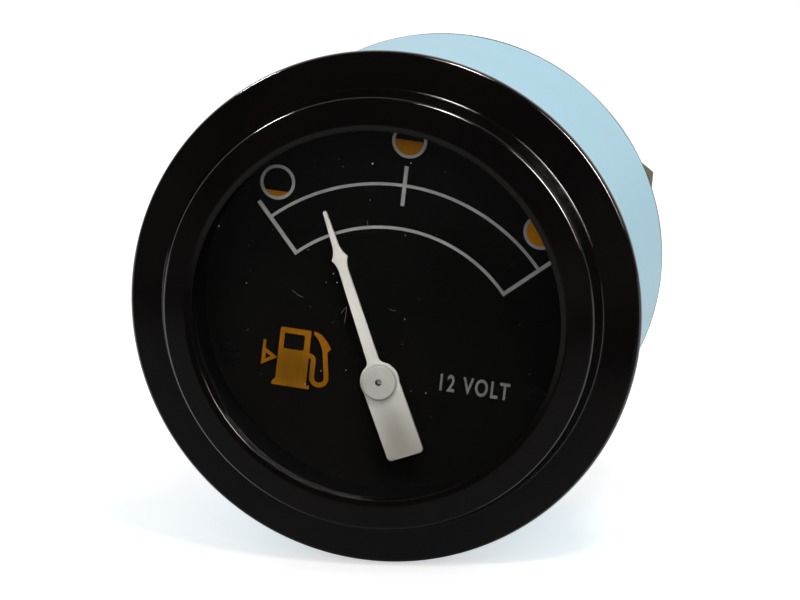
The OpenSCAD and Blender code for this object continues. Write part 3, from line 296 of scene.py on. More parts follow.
def finish(name, dark, light, rough, metal=0.0, clouds=120, grain=2500, depth=0.01,
           speck=(0.0, None), speck_scale=1500, **shine):
    """A finish that clouds over from dark to light, with roughness between two values, fine
    grain depth mm deep, and specks of a size and colour."""
    made, tree, sockets = material(name, Metallic=metal, **shine)
    clouds, grain, specks = detail_in(tree, clouds, grain, speck_scale, speck[0])
    colour = blended(uneven(clouds), dark, light)
    if speck[1]:
        colour = blended(specks, colour, speck[1])
    coat(tree, sockets, colour, uneven(clouds, *rough), grain, depth)
    return made


def only(piece):
    """Selects piece alone and makes it active."""
    bpy.ops.object.select_all(action="DESELECT")
    piece.select_set(True)
    bpy.context.view_layer.objects.active = piece
    return piece


def applied(piece):
    """Puts a piece's place, turn and size into its mesh."""
    only(piece)
    bpy.ops.object.transform_apply(location=True, rotation=True, scale=True)
    return piece


def modified(piece, kind, **settings):
    """Applies a modifier to a piece."""
    only(piece)
    tool = piece.modifiers.new("tool", kind)
    for name, value in settings.items():
        setattr(tool, name, value)
    bpy.ops.object.modifier_apply(modifier="tool")
    return piece


def bevelled(piece, edge, sharp):
    """Rounds over, edge mm wide, the edges of a piece that are sharper than an angle."""
    return modified(piece, "BEVEL", width=edge * MM, segments=2, limit_method="ANGLE",
                    angle_limit=math.radians(sharp))


def smooth(piece, angle=32):
    """Smooth shading that keeps flats flat, but for edges sharper than angle."""
    only(piece)
    bpy.ops.object.shade_smooth_by_angle(angle=math.radians(angle))
    return modified(piece, "WEIGHTED_NORMAL", keep_sharp=True)


def opened(piece):
    """Opens a piece in edit mode, all of it selected."""
    only(piece)
    bpy.ops.object.mode_set(mode="EDIT")
    bpy.ops.mesh.select_all(action="SELECT")
    return piece


def closed(piece):
    """Closes edit mode."""
    bpy.ops.object.mode_set(mode="OBJECT")
    return piece


def copied(piece, name):
    """A copy with its own mesh, free of any body."""
    twin = piece.copy()
    twin.data = piece.data.copy()
    twin.name = twin.data.name = name
    twin.parent = None
    bpy.context.scene.collection.objects.link(twin)
    return twin


def cad_copy(node, name):
    """A copy of a CAD node with its doubled corners merged, left in edit mode."""
    piece = copied(nodes[node], name)
    piece.matrix_world = nodes[node].matrix_world
    opened(applied(piece))
    bpy.ops.mesh.remove_doubles(threshold=1e-6)
    return piece


def dress(piece, finished):
    """Gives a piece or a CAD node its finish."""
    piece.data.materials.clear()
    piece.data.materials.append(finished)


def fitted(piece, finished, slot, *stands_for, body="gauge_case"):
    """Dresses a piece, fixes it to its body and hides the CAD nodes it stands for."""
    dress(piece, finished)
    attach(piece, body)
    if stands_for:
        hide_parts(*stands_for)
    return piece


def eased(node, name, finished, slot, edge=0.08, sharp=35, body="gauge_case"):
    """Fits a copy of a CAD node with its sharp edges rounded over, edge mm wide."""
    piece = cad_copy(node, name)
    bpy.ops.mesh.dissolve_limited(angle_limit=math.radians(1))
    bevelled(closed(piece), edge, sharp)
    fitted(smooth(piece), finished, slot, node, body=body)


nylon = finish("nylon_cream", (196, 186, 158), (214, 206, 180), (0.4, 0.55), depth=0.006,
               Subsurface_Weight=0.1, Subsurface_Scale=0.001)
eased("front_bobbin", "bobbin_front", nylon, "bobbin_cream")
eased("rear_bobbin", "bobbin_rear", nylon, "bobbin_cream")

# ---- Coils and their leads ----
# Fine enamelled copper wire. Each coil is wound in two halves, side by side: the inner one
# over the top and bottom of the bobbin, the outer one round its sides. Three leads go on.

DIAL_TURN, QUARTER = math.radians(6.5), math.radians(90)


def in_case(x, z):
    """A place in the dial's upright frame as it lies in the case, in mm."""
    return (x * math.cos(DIAL_TURN) + z * math.sin(DIAL_TURN),
            z * math.cos(DIAL_TURN) - x * math.sin(DIAL_TURN))


def put(piece, place, y=0.0, turn=DIAL_TURN):
    """Turns a piece about the axis along Y and moves it to its place, in mm."""
    piece.location = Vector((place[0], y, place[1])) * MM
    piece.rotation_euler = (0, turn, 0)
    return applied(piece)


def united(pieces, name):
    """Joins pieces into the first of them."""
    only(pieces[0])
    for piece in pieces:
        piece.select_set(True)
    if len(pieces) > 1:
        bpy.ops.object.join()
    pieces[0].name = pieces[0].data.name = name
    return pieces[0]


def cut(piece, cutter, operation="DIFFERENCE"):
    """Cuts a piece with another, which is used up."""
    modified(piece, "BOOLEAN", operation=operation, solver="EXACT", object=cutter)
    bpy.data.objects.remove(cutter)
    return piece


def open_sheet(wide, high, x=0.0, y=0.0, corner=0.0, steps=5):
    """A flat sheet about x, y, wide by high mm, with rounded corners, left in edit mode."""
    bpy.ops.mesh.primitive_plane_add(size=1, location=(x * MM, y * MM, 0))
    sheet = bpy.context.object
    sheet.scale = (wide * MM, high * MM, 1)
    opened(applied(sheet))
    if corner:
        bpy.ops.mesh.bevel(offset=corner * MM, segments=steps, affect="VERTICES")
    return sheet


def winding(name, wide, high, thick, along):
    """Half a coil round an opening wide by high mm, its wire laid up along Z."""
    core = open_sheet(wide + 2 * thick - 2 * WIRE, high + 2 * thick - 2 * WIRE,
                      corner=thick - WIRE)
    bpy.ops.mesh.extrude_region_move(TRANSFORM_OT_translate={"value": (0, 0, (along - 0.04) * MM)})
    closed(core).location.z = (0.02 - along / 2) * MM
    applied(core)
    bpy.ops.mesh.primitive_cube_add(size=1, scale=((wide + 0.05) * MM, (high + 0.05) * MM, 1))
    cut(core, applied(bpy.context.object))
    loop = open_sheet(wide + 2 * thick - WIRE, high + 2 * thick - WIRE,
                      corner=thick - WIRE / 2)
    bpy.ops.mesh.delete(type="ONLY_FACE")
    closed(loop)
    bpy.ops.object.convert(target="CURVE")
    loop.data.bevel_depth = WIRE / 2 * MM
    loop.data.bevel_resolution = 1
    bpy.ops.object.convert(target="MESH")
    pieces = [core]
    turns = round(along / WIRE)
    for i in range(turns):
        twin = copied(loop, name)
        twin.location.z = ((i + 0.5) * along / turns - along / 2) * MM
        pieces.append(applied(twin))
    bpy.data.objects.remove(loop)
    return united(pieces, name)


enamelled = finish("enamelled_copper", (122, 50, 22), (184, 92, 44), (0.18, 0.32), 0.85,
                   clouds=600, grain=5000, depth=0.004, Coat_Weight=0.4)
PIVOT = in_case(0.1, -9.1)
WIRE, COIL_SLOT, COIL_W, COIL_T, COIL_MID = 0.3, 1.6, 4.5, 1.4, 18.0
for node, wide, high, tilt in (
    ("inner_coil", 10.2, 18.0, (QUARTER, 0, QUARTER)), ("outer_coil", 18.0, 13.0, (0, 0, 0)),
):
    halves = []
    for side in (-1, 1):
        half = winding(node, wide, high, COIL_T, COIL_W)
        half.rotation_euler = tilt
        applied(half)
        offset = side * (COIL_SLOT + COIL_W / 2) * MM
        half.location = (offset, COIL_MID * MM, 0) if tilt[0] else (0, COIL_MID * MM, offset)
        halves.append(applied(half))
    coil = put(united(halves, node.replace("coil", "winding")), PIVOT)
    fitted(smooth(coil), enamelled, "copper_wire", node)
dress(nodes["coil_leads"], enamelled)

# ---- Spindle, disc magnet, jewel and front bush ----
# A polished steel spindle with the sintered magnet pressed on it. It runs in a brass bush in
# front and in a ruby jewel behind, and carries a brass arm that meets the stop pins.

NEAR = 2e-6


def off_axis(corner):
    """How far a corner of a mesh lies from the Y axis."""
    return math.hypot(corner.co.x, corner.co.z)


def picked(piece, kind, fits):
    """Selects the corners (VERT) or edges (EDGE) of an open piece that fit, and no others."""
    bpy.ops.mesh.select_mode(type=kind)
    bpy.ops.mesh.select_all(action="DESELECT")
    mesh = bmesh.from_edit_mesh(piece.data)
    for part in mesh.verts if kind == "VERT" else mesh.edges:
        part.select_set(fits(part))
    bmesh.update_edit_mesh(piece.data)


def pick_ring(piece, r, y):
    """Selects the edges of the ring of radius r at y, in mm."""
    picked(piece, "EDGE", lambda edge: all(
        abs(off_axis(v) - r * MM) < NEAR and abs(v.co.y - y * MM) < NEAR for v in edge.verts))


def drawn_in(size, middle=(0, 0, 0)):
    """Scales what is selected towards the line along Y through a middle."""
    bpy.ops.transform.resize(value=(size, 1, size), center_override=middle)


def faced_out():
    """Selects all of an open piece and turns its faces outwards."""
    bpy.ops.mesh.select_all(action="SELECT")
    bpy.ops.mesh.normals_make_consistent(inside=False)


def turned(name, outline, around=96, steps=4):
    """A piece turned round Y, drawn out ring by ring from a circle. A corner of its outline
    is (radius, y) or (radius, y, rounding), in mm. An outline that ends on the axis is
    capped at both ends, and any other is closed on itself."""
    corners = [(c + (0,))[:3] for c in outline]
    r, y = first = corners[0][:2]
    bpy.ops.mesh.primitive_circle_add(
        vertices=around, radius=r * MM, location=(0, y * MM, 0), rotation=(QUARTER, 0, 0))
    piece = opened(applied(bpy.context.object))
    piece.name = piece.data.name = name
    solid = corners[-1][0] == 0
    for r1, y1, _ in corners[1:] if solid else corners[1:] + corners[:1]:
        bpy.ops.mesh.extrude_region_move()
        drawn_in(r1 / r)
        bpy.ops.transform.translate(value=(0, (y1 - y) * MM, 0))
        r, y = r1, y1
    if solid:
        pick_ring(piece, *first)
        bpy.ops.mesh.extrude_region_move()
        drawn_in(0)
    bpy.ops.mesh.select_all(action="SELECT")
    bpy.ops.mesh.remove_doubles(threshold=1e-6)
    faced_out()
    for i, (r, y, rounding) in enumerate(corners):
        if rounding:
            before = Vector((0, y) if solid and i == 0 else corners[i - 1][:2])
            after = Vector(corners[(i + 1) % len(corners)][:2])
            bend = (Vector((r, y)) - before).angle(after - Vector((r, y)))
            pick_ring(piece, r, y)
            bpy.ops.mesh.bevel(offset=rounding * math.tan(bend / 2) * MM, segments=steps,
                               affect="EDGES", clamp_overlap=False)
    return smooth(closed(piece))


# The spindle has a finish of its own, because its end, down in the boss's hole, carries painted
# shade
steel, spindle_steel = (
    finish(name, (168, 168, 170), (196, 196, 200), (0.18, 0.32), 1.0, grain=6000, depth=0.002)
    for name in ("steel_bright", "spindle_steel"))
magnet_dark = finish("magnet_dark", (52, 52, 55), (78, 78, 82), (0.5, 0.65), 0.6, clouds=400,
                     grain=5000, depth=0.02, speck=(0.12, (110, 108, 104)), speck_scale=2500)
brass = finish("brass_bright", (176, 134, 62), (208, 168, 92), (0.22, 0.4), 1.0, clouds=260,
               grain=5000, depth=0.003, speck=(0.1, (120, 86, 40)), speck_scale=900)
ruby = finish("ruby", (120, 8, 34), (168, 18, 52), (0.04, 0.1), clouds=500, depth=0.001,
              Transmission_Weight=0.4, IOR=1.76)
SPINDLE_R, PIVOT_Y = 0.6, 19.95
spindle = turned("spindle_ground", [
    (0.27, 1.8), (0.27, 0.65), (0.34, 0.45), (SPINDLE_R, 0.45, 0.04), (SPINDLE_R, PIVOT_Y, 0.06),
    (0.3, PIVOT_Y), (0.3, 20.72), (0.22, 20.8), (0, 20.8)], around=48)
fitted(put(spindle, PIVOT), spindle_steel, "steel_bright", "spindle", body="pointer_set")
eased("disc_magnet", "disc_magnet_pressed", magnet_dark, "magnet_dark", body="pointer_set")
eased("stop_arm", "stop_arm_stamped", brass, "brass_bright", body="pointer_set")
eased("front_bush", "front_bush_turned", brass, "brass_bright")
dress(nodes["rear_jewel"], ruby)

# ---- Bridge plate, stop pins, return magnet, dial posts ----
# A passivated steel plate that carries the movement, with two pressed-in stop pins, a small
# bar magnet stuck on it, and a brass post riveted to each ear for the dial.

bridge_steel = finish("bridge_steel", (148, 144, 118), (178, 172, 144), (0.3, 0.48), 1.0,
                      grain=3500, depth=0.005, speck=(0.1, (110, 100, 76)), speck_scale=700)
eased("bridge_plate", "bridge_stamped", bridge_steel, "bridge_steel")
dress(nodes["stop_pins"], steel)
eased("return_magnet", "return_magnet_bar", magnet_dark, "magnet_dark", 0.12)
eased("dial_posts", "dial_posts_turned", brass, "brass_bright")

# ---- Shield can and movement screws ----
# A soft iron can, drawn from sheet, that keeps other fields off the coils, and the two
# cheese-head screws that hold it and the bobbin to the bridge plate.

iron = finish("shield_iron", (112, 112, 115), (150, 150, 152), (0.34, 0.5), 1.0, clouds=200,
              grain=4000, depth=0.006, speck=(0.14, (92, 78, 66)), speck_scale=600)
eased("shield_can", "shield_drawn", iron, "shield_iron", 0.2)
eased("movement_screws", "movement_screws_turned", steel, "steel_bright", 0.1)

# ---- Rear pillars and clamp studs ----
# Two turned steel pillars, yellow zinc plated. Each is riveted through the bridge plate in
# front and ends behind in an M4 stud with an undercut and a chamfered end.


def off_from(tree, place, near, far):
    """How far a point lies from the line along Y through a place: 0 up to near, 1 from far
    on, in mm."""
    flat = vector_maths("MULTIPLY", place_in(tree), (1, 0, 1))["Vector"]
    apart = vector_maths("DISTANCE", flat, (place[0] * MM, 0, place[1] * MM))["Value"]
    return ranged(apart, near * MM, far * MM)


# Yellow zinc: gold that shades into green and pink, with a duller, scuffed grain. The outer
# side of the supply terminal, which shows past the case, is painted dark brown and dull: a painted
# reflection of the dark room before it.
PAINTED_DARK_SIDE = (23.5, 8.5)
zinc_yellow, tree, sockets = material("zinc_yellow")
clouds, grain, specks = detail_in(tree, 260, 4000, 900, 0.12)
broad_clouds, _, _ = detail_in(tree, 430, 4000, 900, 0.12)
away_from_painted_dark = off_from(tree, PAINTED_DARK_SIDE, 2, 5)
colour = blended(ranged(clouds, 0.35, 0.65), (154, 128, 72), (144, 134, 96))
colour = blended(ranged(broad_clouds, 0.5, 0.68), colour, (148, 114, 92))
colour = blended(ranged(broad_clouds, 0.45, 0.3), colour, (112, 118, 80))
# Painted dark reflection: near the supply terminal's outer side the plating is painted dark brown
colour = blended(away_from_painted_dark, (86, 78, 52), blended(specks, colour, (88, 68, 40)))
rough = maths("MAXIMUM", uneven(clouds, 0.2, 0.4), ranged(away_from_painted_dark, 0, 1, 0.65, 0.2))
coat(tree, sockets, colour, rough, grain, 0.004)
join(ranged(away_from_painted_dark, 0, 1, 0.35, 1), sockets["Metallic"])


def thread(start, free, end):
    """The ridge of an M4 thread from start to end, with an undercut from free."""
    mid, first = (STUD_R + 0.02 + THREAD_ROOT - 0.1) / 2, start - THREAD_PITCH
    ridge = open_sheet(STUD_R + 0.12 - THREAD_ROOT, THREAD_PITCH * 0.92, mid, first)
    bpy.ops.mesh.delete(type="ONLY_FACE")
    picked(ridge, "VERT", lambda corner: corner.co.x > mid * MM)
    bpy.ops.transform.resize(value=(1, 0.16, 1), center_override=(0, first * MM, 0))
    modified(closed(ridge), "SCREW", axis="Y", steps=28, render_steps=28, use_smooth_shade=False,
             screw_offset=THREAD_PITCH * MM, iterations=round((end - start) / THREAD_PITCH) + 3)
    opened(ridge)
    bpy.ops.mesh.fill_holes(sides=4)
    faced_out()
    return cut(closed(ridge), turned("envelope", [
        (STUD_R, start), (STUD_R, free), (GROOVE_R, free + 0.2),
        (GROOVE_R, free + GROOVE_W - 0.2), (STUD_R, free + GROOVE_W),
        (STUD_R, end - 0.45), (THREAD_ROOT - 0.05, end), (0, end)], around=56), "INTERSECT")


def repeated(model, places, name, y=0.0):
    """Copies of a model at each place, as one piece; the model is used up."""
    twins = [put(copied(model, name), place, y) for place in places]
    bpy.data.objects.remove(model)
    return united(twins, name)


STUD_R, THREAD_ROOT, THREAD_PITCH, GROOVE_R, GROOVE_W = 2.0, 1.62, 0.7, 1.65, 1.0
CORE_R, TIP_R = THREAD_ROOT + 0.02, THREAD_ROOT - 0.25
CLAMPS = {"left": in_case(-18.2, -8.7), "right": in_case(18.2, -8.7)}
pillar = turned("pillar", [
    (1.25, 6.8, 0.15), (1.25, 9.8), (2.3, 9.8, 0.2), (2.3, 37.5, 0.2), (CORE_R, 37.5),
    (CORE_R, 52.75), (TIP_R, 53.0), (0, 53.0)], around=56)
pillar = united([pillar, thread(37.5, 46.45, 53.0)], "pillar")
fitted(smooth(repeated(pillar, CLAMPS.values(), "pillars_threaded")), zinc_yellow,
       "zinc_yellow", "rear_pillars")

# ---- Circuit board and ballast resistor ----
# A disc of brown paper laminate with the terminals riveted to it, and a wire-wound resistor
# in a cream ceramic coat soldered across its front.

laminate = finish("board_brown", (112, 72, 38), (148, 100, 58), (0.42, 0.58), clouds=90,
                  grain=3000, depth=0.008, speck=(0.16, (92, 58, 32)), speck_scale=1300)
eased("circuit_board", "board_punched", laminate, "board_brown")
ceramic = finish("resistor_body", (190, 172, 128), (208, 192, 150), (0.3, 0.42), clouds=300,
                 depth=0.006, speck=(0.12, (150, 128, 88)))
eased("ballast_resistor", "resistor_dipped", ceramic, "resistor_body", 0.3, 60)

# ---- Terminal studs and bushes ----
# Three M4 steel studs, yellow zinc plated, with hexagonal heads against the board. White
# nylon bushes hold the board off the case and keep the studs clear of it.

TERMINAL_CIRCLE, FIRST_TERMINAL = 20.6, 25.4
TERMINALS = [in_case(TERMINAL_CIRCLE * math.cos(math.radians(FIRST_TERMINAL + 120 * i)),
                     TERMINAL_CIRCLE * math.sin(math.radians(FIRST_TERMINAL + 120 * i)))
             for i in range(3)]


def hexagon(flats, start, thick):
    """A hexagonal block along Y, with its corners turned off at both ends."""
    corner = flats / math.sqrt(3)
    bpy.ops.mesh.primitive_cylinder_add(
        vertices=6, radius=corner * MM, depth=thick * MM,
        location=(0, (start + thick / 2) * MM, 0), rotation=(QUARTER, 0, 0))
    block = applied(bpy.context.object)
    drop, end = (corner - flats / 2) * 0.55, start + thick
    return cut(block, turned("envelope", [
        (flats / 2 - 0.05, start), (corner + 0.03, start + drop), (corner + 0.03, end - drop),
        (flats / 2 - 0.05, end), (0, end)]), "INTERSECT")


head = bevelled(hexagon(6.2, 29.2, 1.8), 0.05, 24)
shank = turned("shank", [(CORE_R, 30.9), (CORE_R, 51.35), (TIP_R, 51.6), (0, 51.6)], around=56)
stud = united([head, shank, thread(31.0, 47.6, 51.6)], "stud")
fitted(smooth(repeated(stud, TERMINALS, "terminal_studs_threaded")), zinc_yellow,
       "zinc_yellow", "terminal_studs")
bush_white = finish("bush_white", (206, 202, 188), (222, 218, 206), (0.38, 0.5), depth=0.006)
eased("terminal_bushes", "terminal_bushes_moulded", bush_white, "bush_white", 0.15)

# ---- Dial plate, its screws and print ----
# A steel disc sprayed matt black, held by two blackened screws. The marks are screen printed
# in grey and amber, thin enough to show the paint's fine grain.

dial_black = finish("dial_black", (10, 10, 9), (16, 15, 14), (0.62, 0.78), clouds=40, grain=5000,
                    depth=0.006, speck=(0.1, (24, 22, 20)), speck_scale=2200,
                    Specular_IOR_Level=0.0)
dress(nodes["dial_plate"], dial_black)
screw_black = finish("screw_black", (8, 8, 8), (12, 11, 11), (0.4, 0.5), clouds=500,
                     depth=0.004, Specular_IOR_Level=0.1)
eased("dial_screws", "dial_screws_turned", screw_black, "screw_black")


def ink(name, colours_in, clouds):
    """Printing ink that lies a little uneven; colours_in gives its thin and full colours."""
    made, tree, sockets = material(name, Specular_IOR_Level=0.05)
    clouds, grain, specks = detail_in(tree, clouds, 5000, 1800, 0.14)
    thin, full = colours_in(tree)
    colour = blended(maths("MULTIPLY", specks, 0.3), blended(uneven(clouds), thin, full), thin)
    coat(tree, sockets, colour, uneven(grain, 0.5, 0.7), grain, 0.005)
    return made


def grey_in(tree):
    """Grey with a painted pool of light: lightest at the top left of the scale, darker away from
    it.
    """
    painted_light_falloff = off_from(tree, (-3, 18), 10, 25)
    return (blended(painted_light_falloff, (152, 152, 151), (122, 122, 121)),
            blended(painted_light_falloff, (170, 170, 168), (142, 142, 141)))


def amber_in(tree):
    """Amber that is duller on the pump symbol, most of all in the middle of its body."""
    body = off_from(tree, in_case(-10.8, -9.4), 1.0, 3.2)
    pump = off_from(tree, in_case(-10.75, -8.35), 6.0, 8.0)
    return (blended(pump, blended(body, (94, 62, 8), (124, 78, 8)), (146, 90, 4)),
            blended(pump, blended(body, (106, 70, 10), (138, 87, 10)), (162, 103, 6)))


def dim_in(tree):
    """Darker grey, all one colour."""
    return (92, 92, 92), (114, 114, 113)


def thinned(piece, place, r, by):
    """Moves the rim of radius r round a place on the dial inwards by a distance, in mm."""
    middle = Vector((place[0], DIAL_Y, place[1])) * MM
    picked(opened(piece), "VERT", lambda corner: abs(math.hypot(
        corner.co.x - middle.x, corner.co.z - middle.z) - r * MM) < 0.02 * MM)
    drawn_in(1 - by / r, middle)
    closed(piece)


# The arcs and the rims of the level circles are finer than the bars, and the liquid fills
# the circles out
DIAL_Y, LINE_W, FINER, LEVEL_R = 3.25, 0.45, 0.05, 2.1
SCALE_MID, ARC_RADII = in_case(0, -8.7), (17.35, 22.45)
LEVELS = [in_case(-14.851, 11.967), in_case(0, 19.05), in_case(16.461, 10.71)]
marks = closed(cad_copy("scale_marks", "scale_printed"))
for r in ARC_RADII:
    thinned(marks, SCALE_MID, r + LINE_W / 2, FINER)
    thinned(marks, SCALE_MID, r - LINE_W / 2, -FINER)
amber = closed(cad_copy("amber_marks", "amber_printed"))
for place in LEVELS:
    thinned(marks, place, LEVEL_R, FINER)
    thinned(marks, place, LEVEL_R - LINE_W, -FINER)
    thinned(amber, place, LEVEL_R - LINE_W, -FINER)
fitted(marks, ink("print_grey", grey_in, 350), "print_grey", "scale_marks")
fitted(amber, ink("print_amber", amber_in, 260), "print_amber", "amber_marks")

# The supply voltage, printed to the right of the pivot in narrow capitals
bpy.ops.object.select_all(action="DESELECT")
bpy.ops.object.text_add(rotation=(QUARTER, 0, 0))
volts = bpy.context.object
volts.data.body = "12 VOLT"
volts.data.size = 2.75 * MM
volts.data.space_character = 1.22
volts.data.offset = 0.055 * MM
volts.data.extrude = 0.03 * MM
volts.data.align_x = "CENTER"
bpy.ops.object.convert(target="MESH")
volts = bpy.context.object
volts.name = volts.data.name = "volts_print"
applied(volts).scale = (0.7, 1, 1)
applied(volts)
put(volts, in_case(10.7, -9.5), 3.27)
fitted(volts, ink("print_dim", dim_in, 350), "print_grey")

# ---- Pointer and boss ----
# A flat aluminium blade, painted white, with a barb below its needle and a broad tail that
# balances it. The boss is riveted to it and pressed on the spindle.


def arc(mid, r, first, last, steps=10):
    """Points of an arc round mid, from angle first to last in degrees."""
    angles = [math.radians(first + (last - first) * i / steps) for i in range(steps + 1)]
    return [(mid[0] + r * math.cos(a), mid[1] + r * math.sin(a)) for a in angles]


def bow(a, pull, b, steps=8):
    """Points of a curve from a to b, drawn towards pull."""
    return [tuple((1 - t) ** 2 * p + 2 * t * (1 - t) * q + t * t * s
                  for p, q, s in zip(a, pull, b)) for t in (i / steps for i in range(steps + 1))]


HUB_R, TAIL_HALF, TAIL_L, TAIL_ROUND, ARM_HALF, FILLET_R = 2.3, 2.2, 9.3, 0.5, 0.7, 0.9
TAIL_LEAN, POINTER_TURN = 0.03, math.radians(-18.2)
FLAT_HALF, EDGE_ROUND = 0.17, 0.08
fillet_x = ARM_HALF + FILLET_R
fillet_mid = (fillet_x, math.sqrt((HUB_R + FILLET_R) ** 2 - fillet_x ** 2))
hub_angle = math.degrees(math.atan2(fillet_mid[1], fillet_mid[0]))
right_side = (
    arc((0, 20.63), 0.22, 90, 0, 6)
    + bow((0.36, 16.7), (0.46, 15.7), (0.965, 15.1))
    + bow((0.94, 14.98), (0.6, 14.5), (0.55, 13.6))
    + arc(fillet_mid, FILLET_R, 180, 180 + hub_angle)
    + arc((0, 0), HUB_R, hub_angle, -math.degrees(math.acos(TAIL_HALF / HUB_R)))[1:]
    + arc((TAIL_HALF - TAIL_ROUND, TAIL_ROUND - TAIL_L), TAIL_ROUND, 0, -90, 5)
)
outline = right_side + [(-x, z) for x, z in reversed(right_side[1:])]
# The tail leans a little off the needle's line
outline = [(x + TAIL_LEAN * max(0, -z - 1), z) for x, z in outline]
shape = bpy.data.curves.new("blade", "CURVE")
shape.dimensions = "2D"
shape.fill_mode = "BOTH"
spline = shape.splines.new("POLY")
spline.points.add(len(outline) - 1)
for point, (x, z) in zip(spline.points, outline):
    point.co = (x * MM, z * MM, 0, 1)
spline.use_cyclic_u = True
shape.extrude = FLAT_HALF * MM
shape.bevel_depth = EDGE_ROUND * MM
shape.offset = -EDGE_ROUND * MM
shape.bevel_resolution = 2
only(linked("blade", shape))
bpy.ops.object.convert(target="MESH")
blade = opened(bpy.context.object)
bpy.ops.mesh.remove_doubles(threshold=1e-6)
faced_out()
closed(blade).rotation_euler = (QUARTER, 0, 0)
blade.location.y = 1.05 * MM
applied(blade)
blade.name = blade.data.name = "blade_painted"
put(blade, PIVOT, 0, POINTER_TURN)

# White paint, lightest on the needle and darker down the blade to the tail, with painted shade in
# the middle of the tail between lighter rims
pointer_white, tree, sockets = material("pointer_white", Specular_IOR_Level=0.25)
clouds, grain, specks = detail_in(tree, 220, 4500, 1300, 0.1)
own = node_in(tree, "Mapping", vector_type="TEXTURE",
              Location=(PIVOT[0] * MM, 0, PIVOT[1] * MM), Rotation=(0, POINTER_TURN, 0),
              Vector=place_in(tree))
axes = parted(own.outputs[0])
# Painted shade: the middle of the tail is darkened and its rims are left lighter
painted_tail_shade = maths("MULTIPLY", ranged(axes["Z"], -0.001, -0.0065),
             ranged(maths("ABSOLUTE", axes["X"]), 0.0022, 0.0005))
painted_tail_shade = maths("MULTIPLY", painted_tail_shade, ranged(axes["Z"], -0.0092, -0.0088))
colour = blended(uneven(clouds), (211, 207, 198), (220, 216, 207))
colour = blended(ranged(axes["Z"], 0.010, -0.002), colour, (186, 184, 176))
colour = blended(ranged(axes["Z"], -0.003, -0.009), colour, (152, 147, 138))
colour = blended(painted_tail_shade, colour, (140, 136, 129))
colour = blended(maths("MULTIPLY", specks, 0.3), colour, (120, 112, 100))
coat(tree, sockets, colour, uneven(clouds, 0.42, 0.55), grain, 0.006)
fitted(smooth(blade), pointer_white, "pointer_white", "pointer", body="pointer_set")

BOSS_R, BOSS_HOLE = 2.04, 0.34
boss = turned("boss_turned", [
    (SPINDLE_R, 2.8), (1.1, 2.8), (1.1, 0.8), (2.1, 0.8), (2.1, 0.76), (1.84, 0.72), (1.84, 0.6),
    (BOSS_R, 0.54), (BOSS_R, 0.1, 0.2), (0.42, 0.1, 0.05), (BOSS_HOLE, 0.2), (BOSS_HOLE, 0.45),
    (SPINDLE_R, 0.45)])
boss_paint = finish("boss_white", (163, 161, 155), (174, 172, 165), (0.36, 0.46), clouds=500,
                    grain=4500, depth=0.005, speck=(0.08, (130, 124, 112)))
# Painted shade: the hole in the boss and the end of the spindle in it are painted near black, as
# the shade deep in the hole
for made, near, far in ((boss_paint, 0.35, 0.4), (spindle_steel, 0.34, 0.36)):
    tree = made.node_tree
    sockets = tree.nodes["Principled BSDF"].inputs
    away_from_painted_dark = off_from(tree, PIVOT, near, far)
    join(blended(away_from_painted_dark, (3, 3, 3), sockets["Base Color"].links[0].from_socket),
         sockets["Base Color"])
    join(maths("MULTIPLY", away_from_painted_dark, sockets["Metallic"].default_value), sockets["Metallic"])
fitted(put(boss, PIVOT), boss_paint, "pointer_white", "pointer_boss", body="pointer_set")

# ---- Shroud ring ----
# A ring moulded in matt black plastic. It hides the edge of the dial, and the glass and
# bezel press it home on the dial plate.

shroud_black = finish("shroud_black", (6, 6, 6), (10, 9, 9), (0.6, 0.75), depth=0.006,
                      Specular_IOR_Level=0.1)
eased("shroud_ring", "shroud_moulded", shroud_black, "shroud_black", 0.15)

# ---- Case ----
# Deep-drawn steel can with a front flange for the bezel and a pierced rear wall. It is
# stove enamelled light blue, with a ragged dark teal line round the rear edge.

CASE_R, REAR_Y, HOLE_R, BUSH_R, TUBE_OUT = 26.0, 38.2, 2.05, 2.75, 5.5
LAMP = in_case(0, 13.0)
case = turned("case_drawn", [
    (25.3, 37.5, 0.3), (25.3, -1.3), (28.2, -1.3, 0.1), (28.2, -0.6, 0.1), (CASE_R, -0.6, 0.1),
    (CASE_R, REAR_Y, 1.0), (0, REAR_Y)], around=192, steps=6)
for r, places, around in (
    (BUSH_R, TERMINALS, 48), (HOLE_R, CLAMPS.values(), 48), (TUBE_OUT, [LAMP], 64),
):
    for x, z in places:
        bpy.ops.mesh.primitive_cylinder_add(
            vertices=around, radius=r * MM, depth=4 * MM, rotation=(QUARTER, 0, 0),
            location=Vector((x, 38, z)) * MM)
        cut(case, applied(bpy.context.object))

case_blue, tree, sockets = material("case_blue", Coat_Weight=0.15, Coat_Roughness=0.25,
                                    Specular_IOR_Level=0.35)
clouds, grain, specks = detail_in(tree, 70, 1600, 420, 0.07)
colour = blended(uneven(clouds), (157, 210, 230), (165, 216, 235))
colour = blended(maths("MULTIPLY", specks, 0.5), colour, (140, 188, 200))
# A ragged dark teal line round the rear edge, rougher than the enamel
DARK_LINE_Y = 0.03722
depth = parted(place_in(tree))["Y"]
ragged = maths("ADD", depth, maths("MULTIPLY", maths("SUBTRACT", clouds, 0.5), 0.0018))
dark_line = ranged(maths("ABSOLUTE", maths("SUBTRACT", ragged, DARK_LINE_Y)), 0.00055, 0.0002)
coat(tree, sockets, blended(dark_line, colour, (50, 74, 78)),
     maths("MAXIMUM", dark_line, uneven(clouds, 0.34, 0.42)), grain, 0.01)
fitted(smooth(case), case_blue, "case_blue", "case_shell")

# ---- Terminal insulators, washers and nuts ----
# Behind the case each terminal stud carries a brown fibre washer, a plain washer, a fixing
# nut, a spring washer and the nut that clamps the wire.


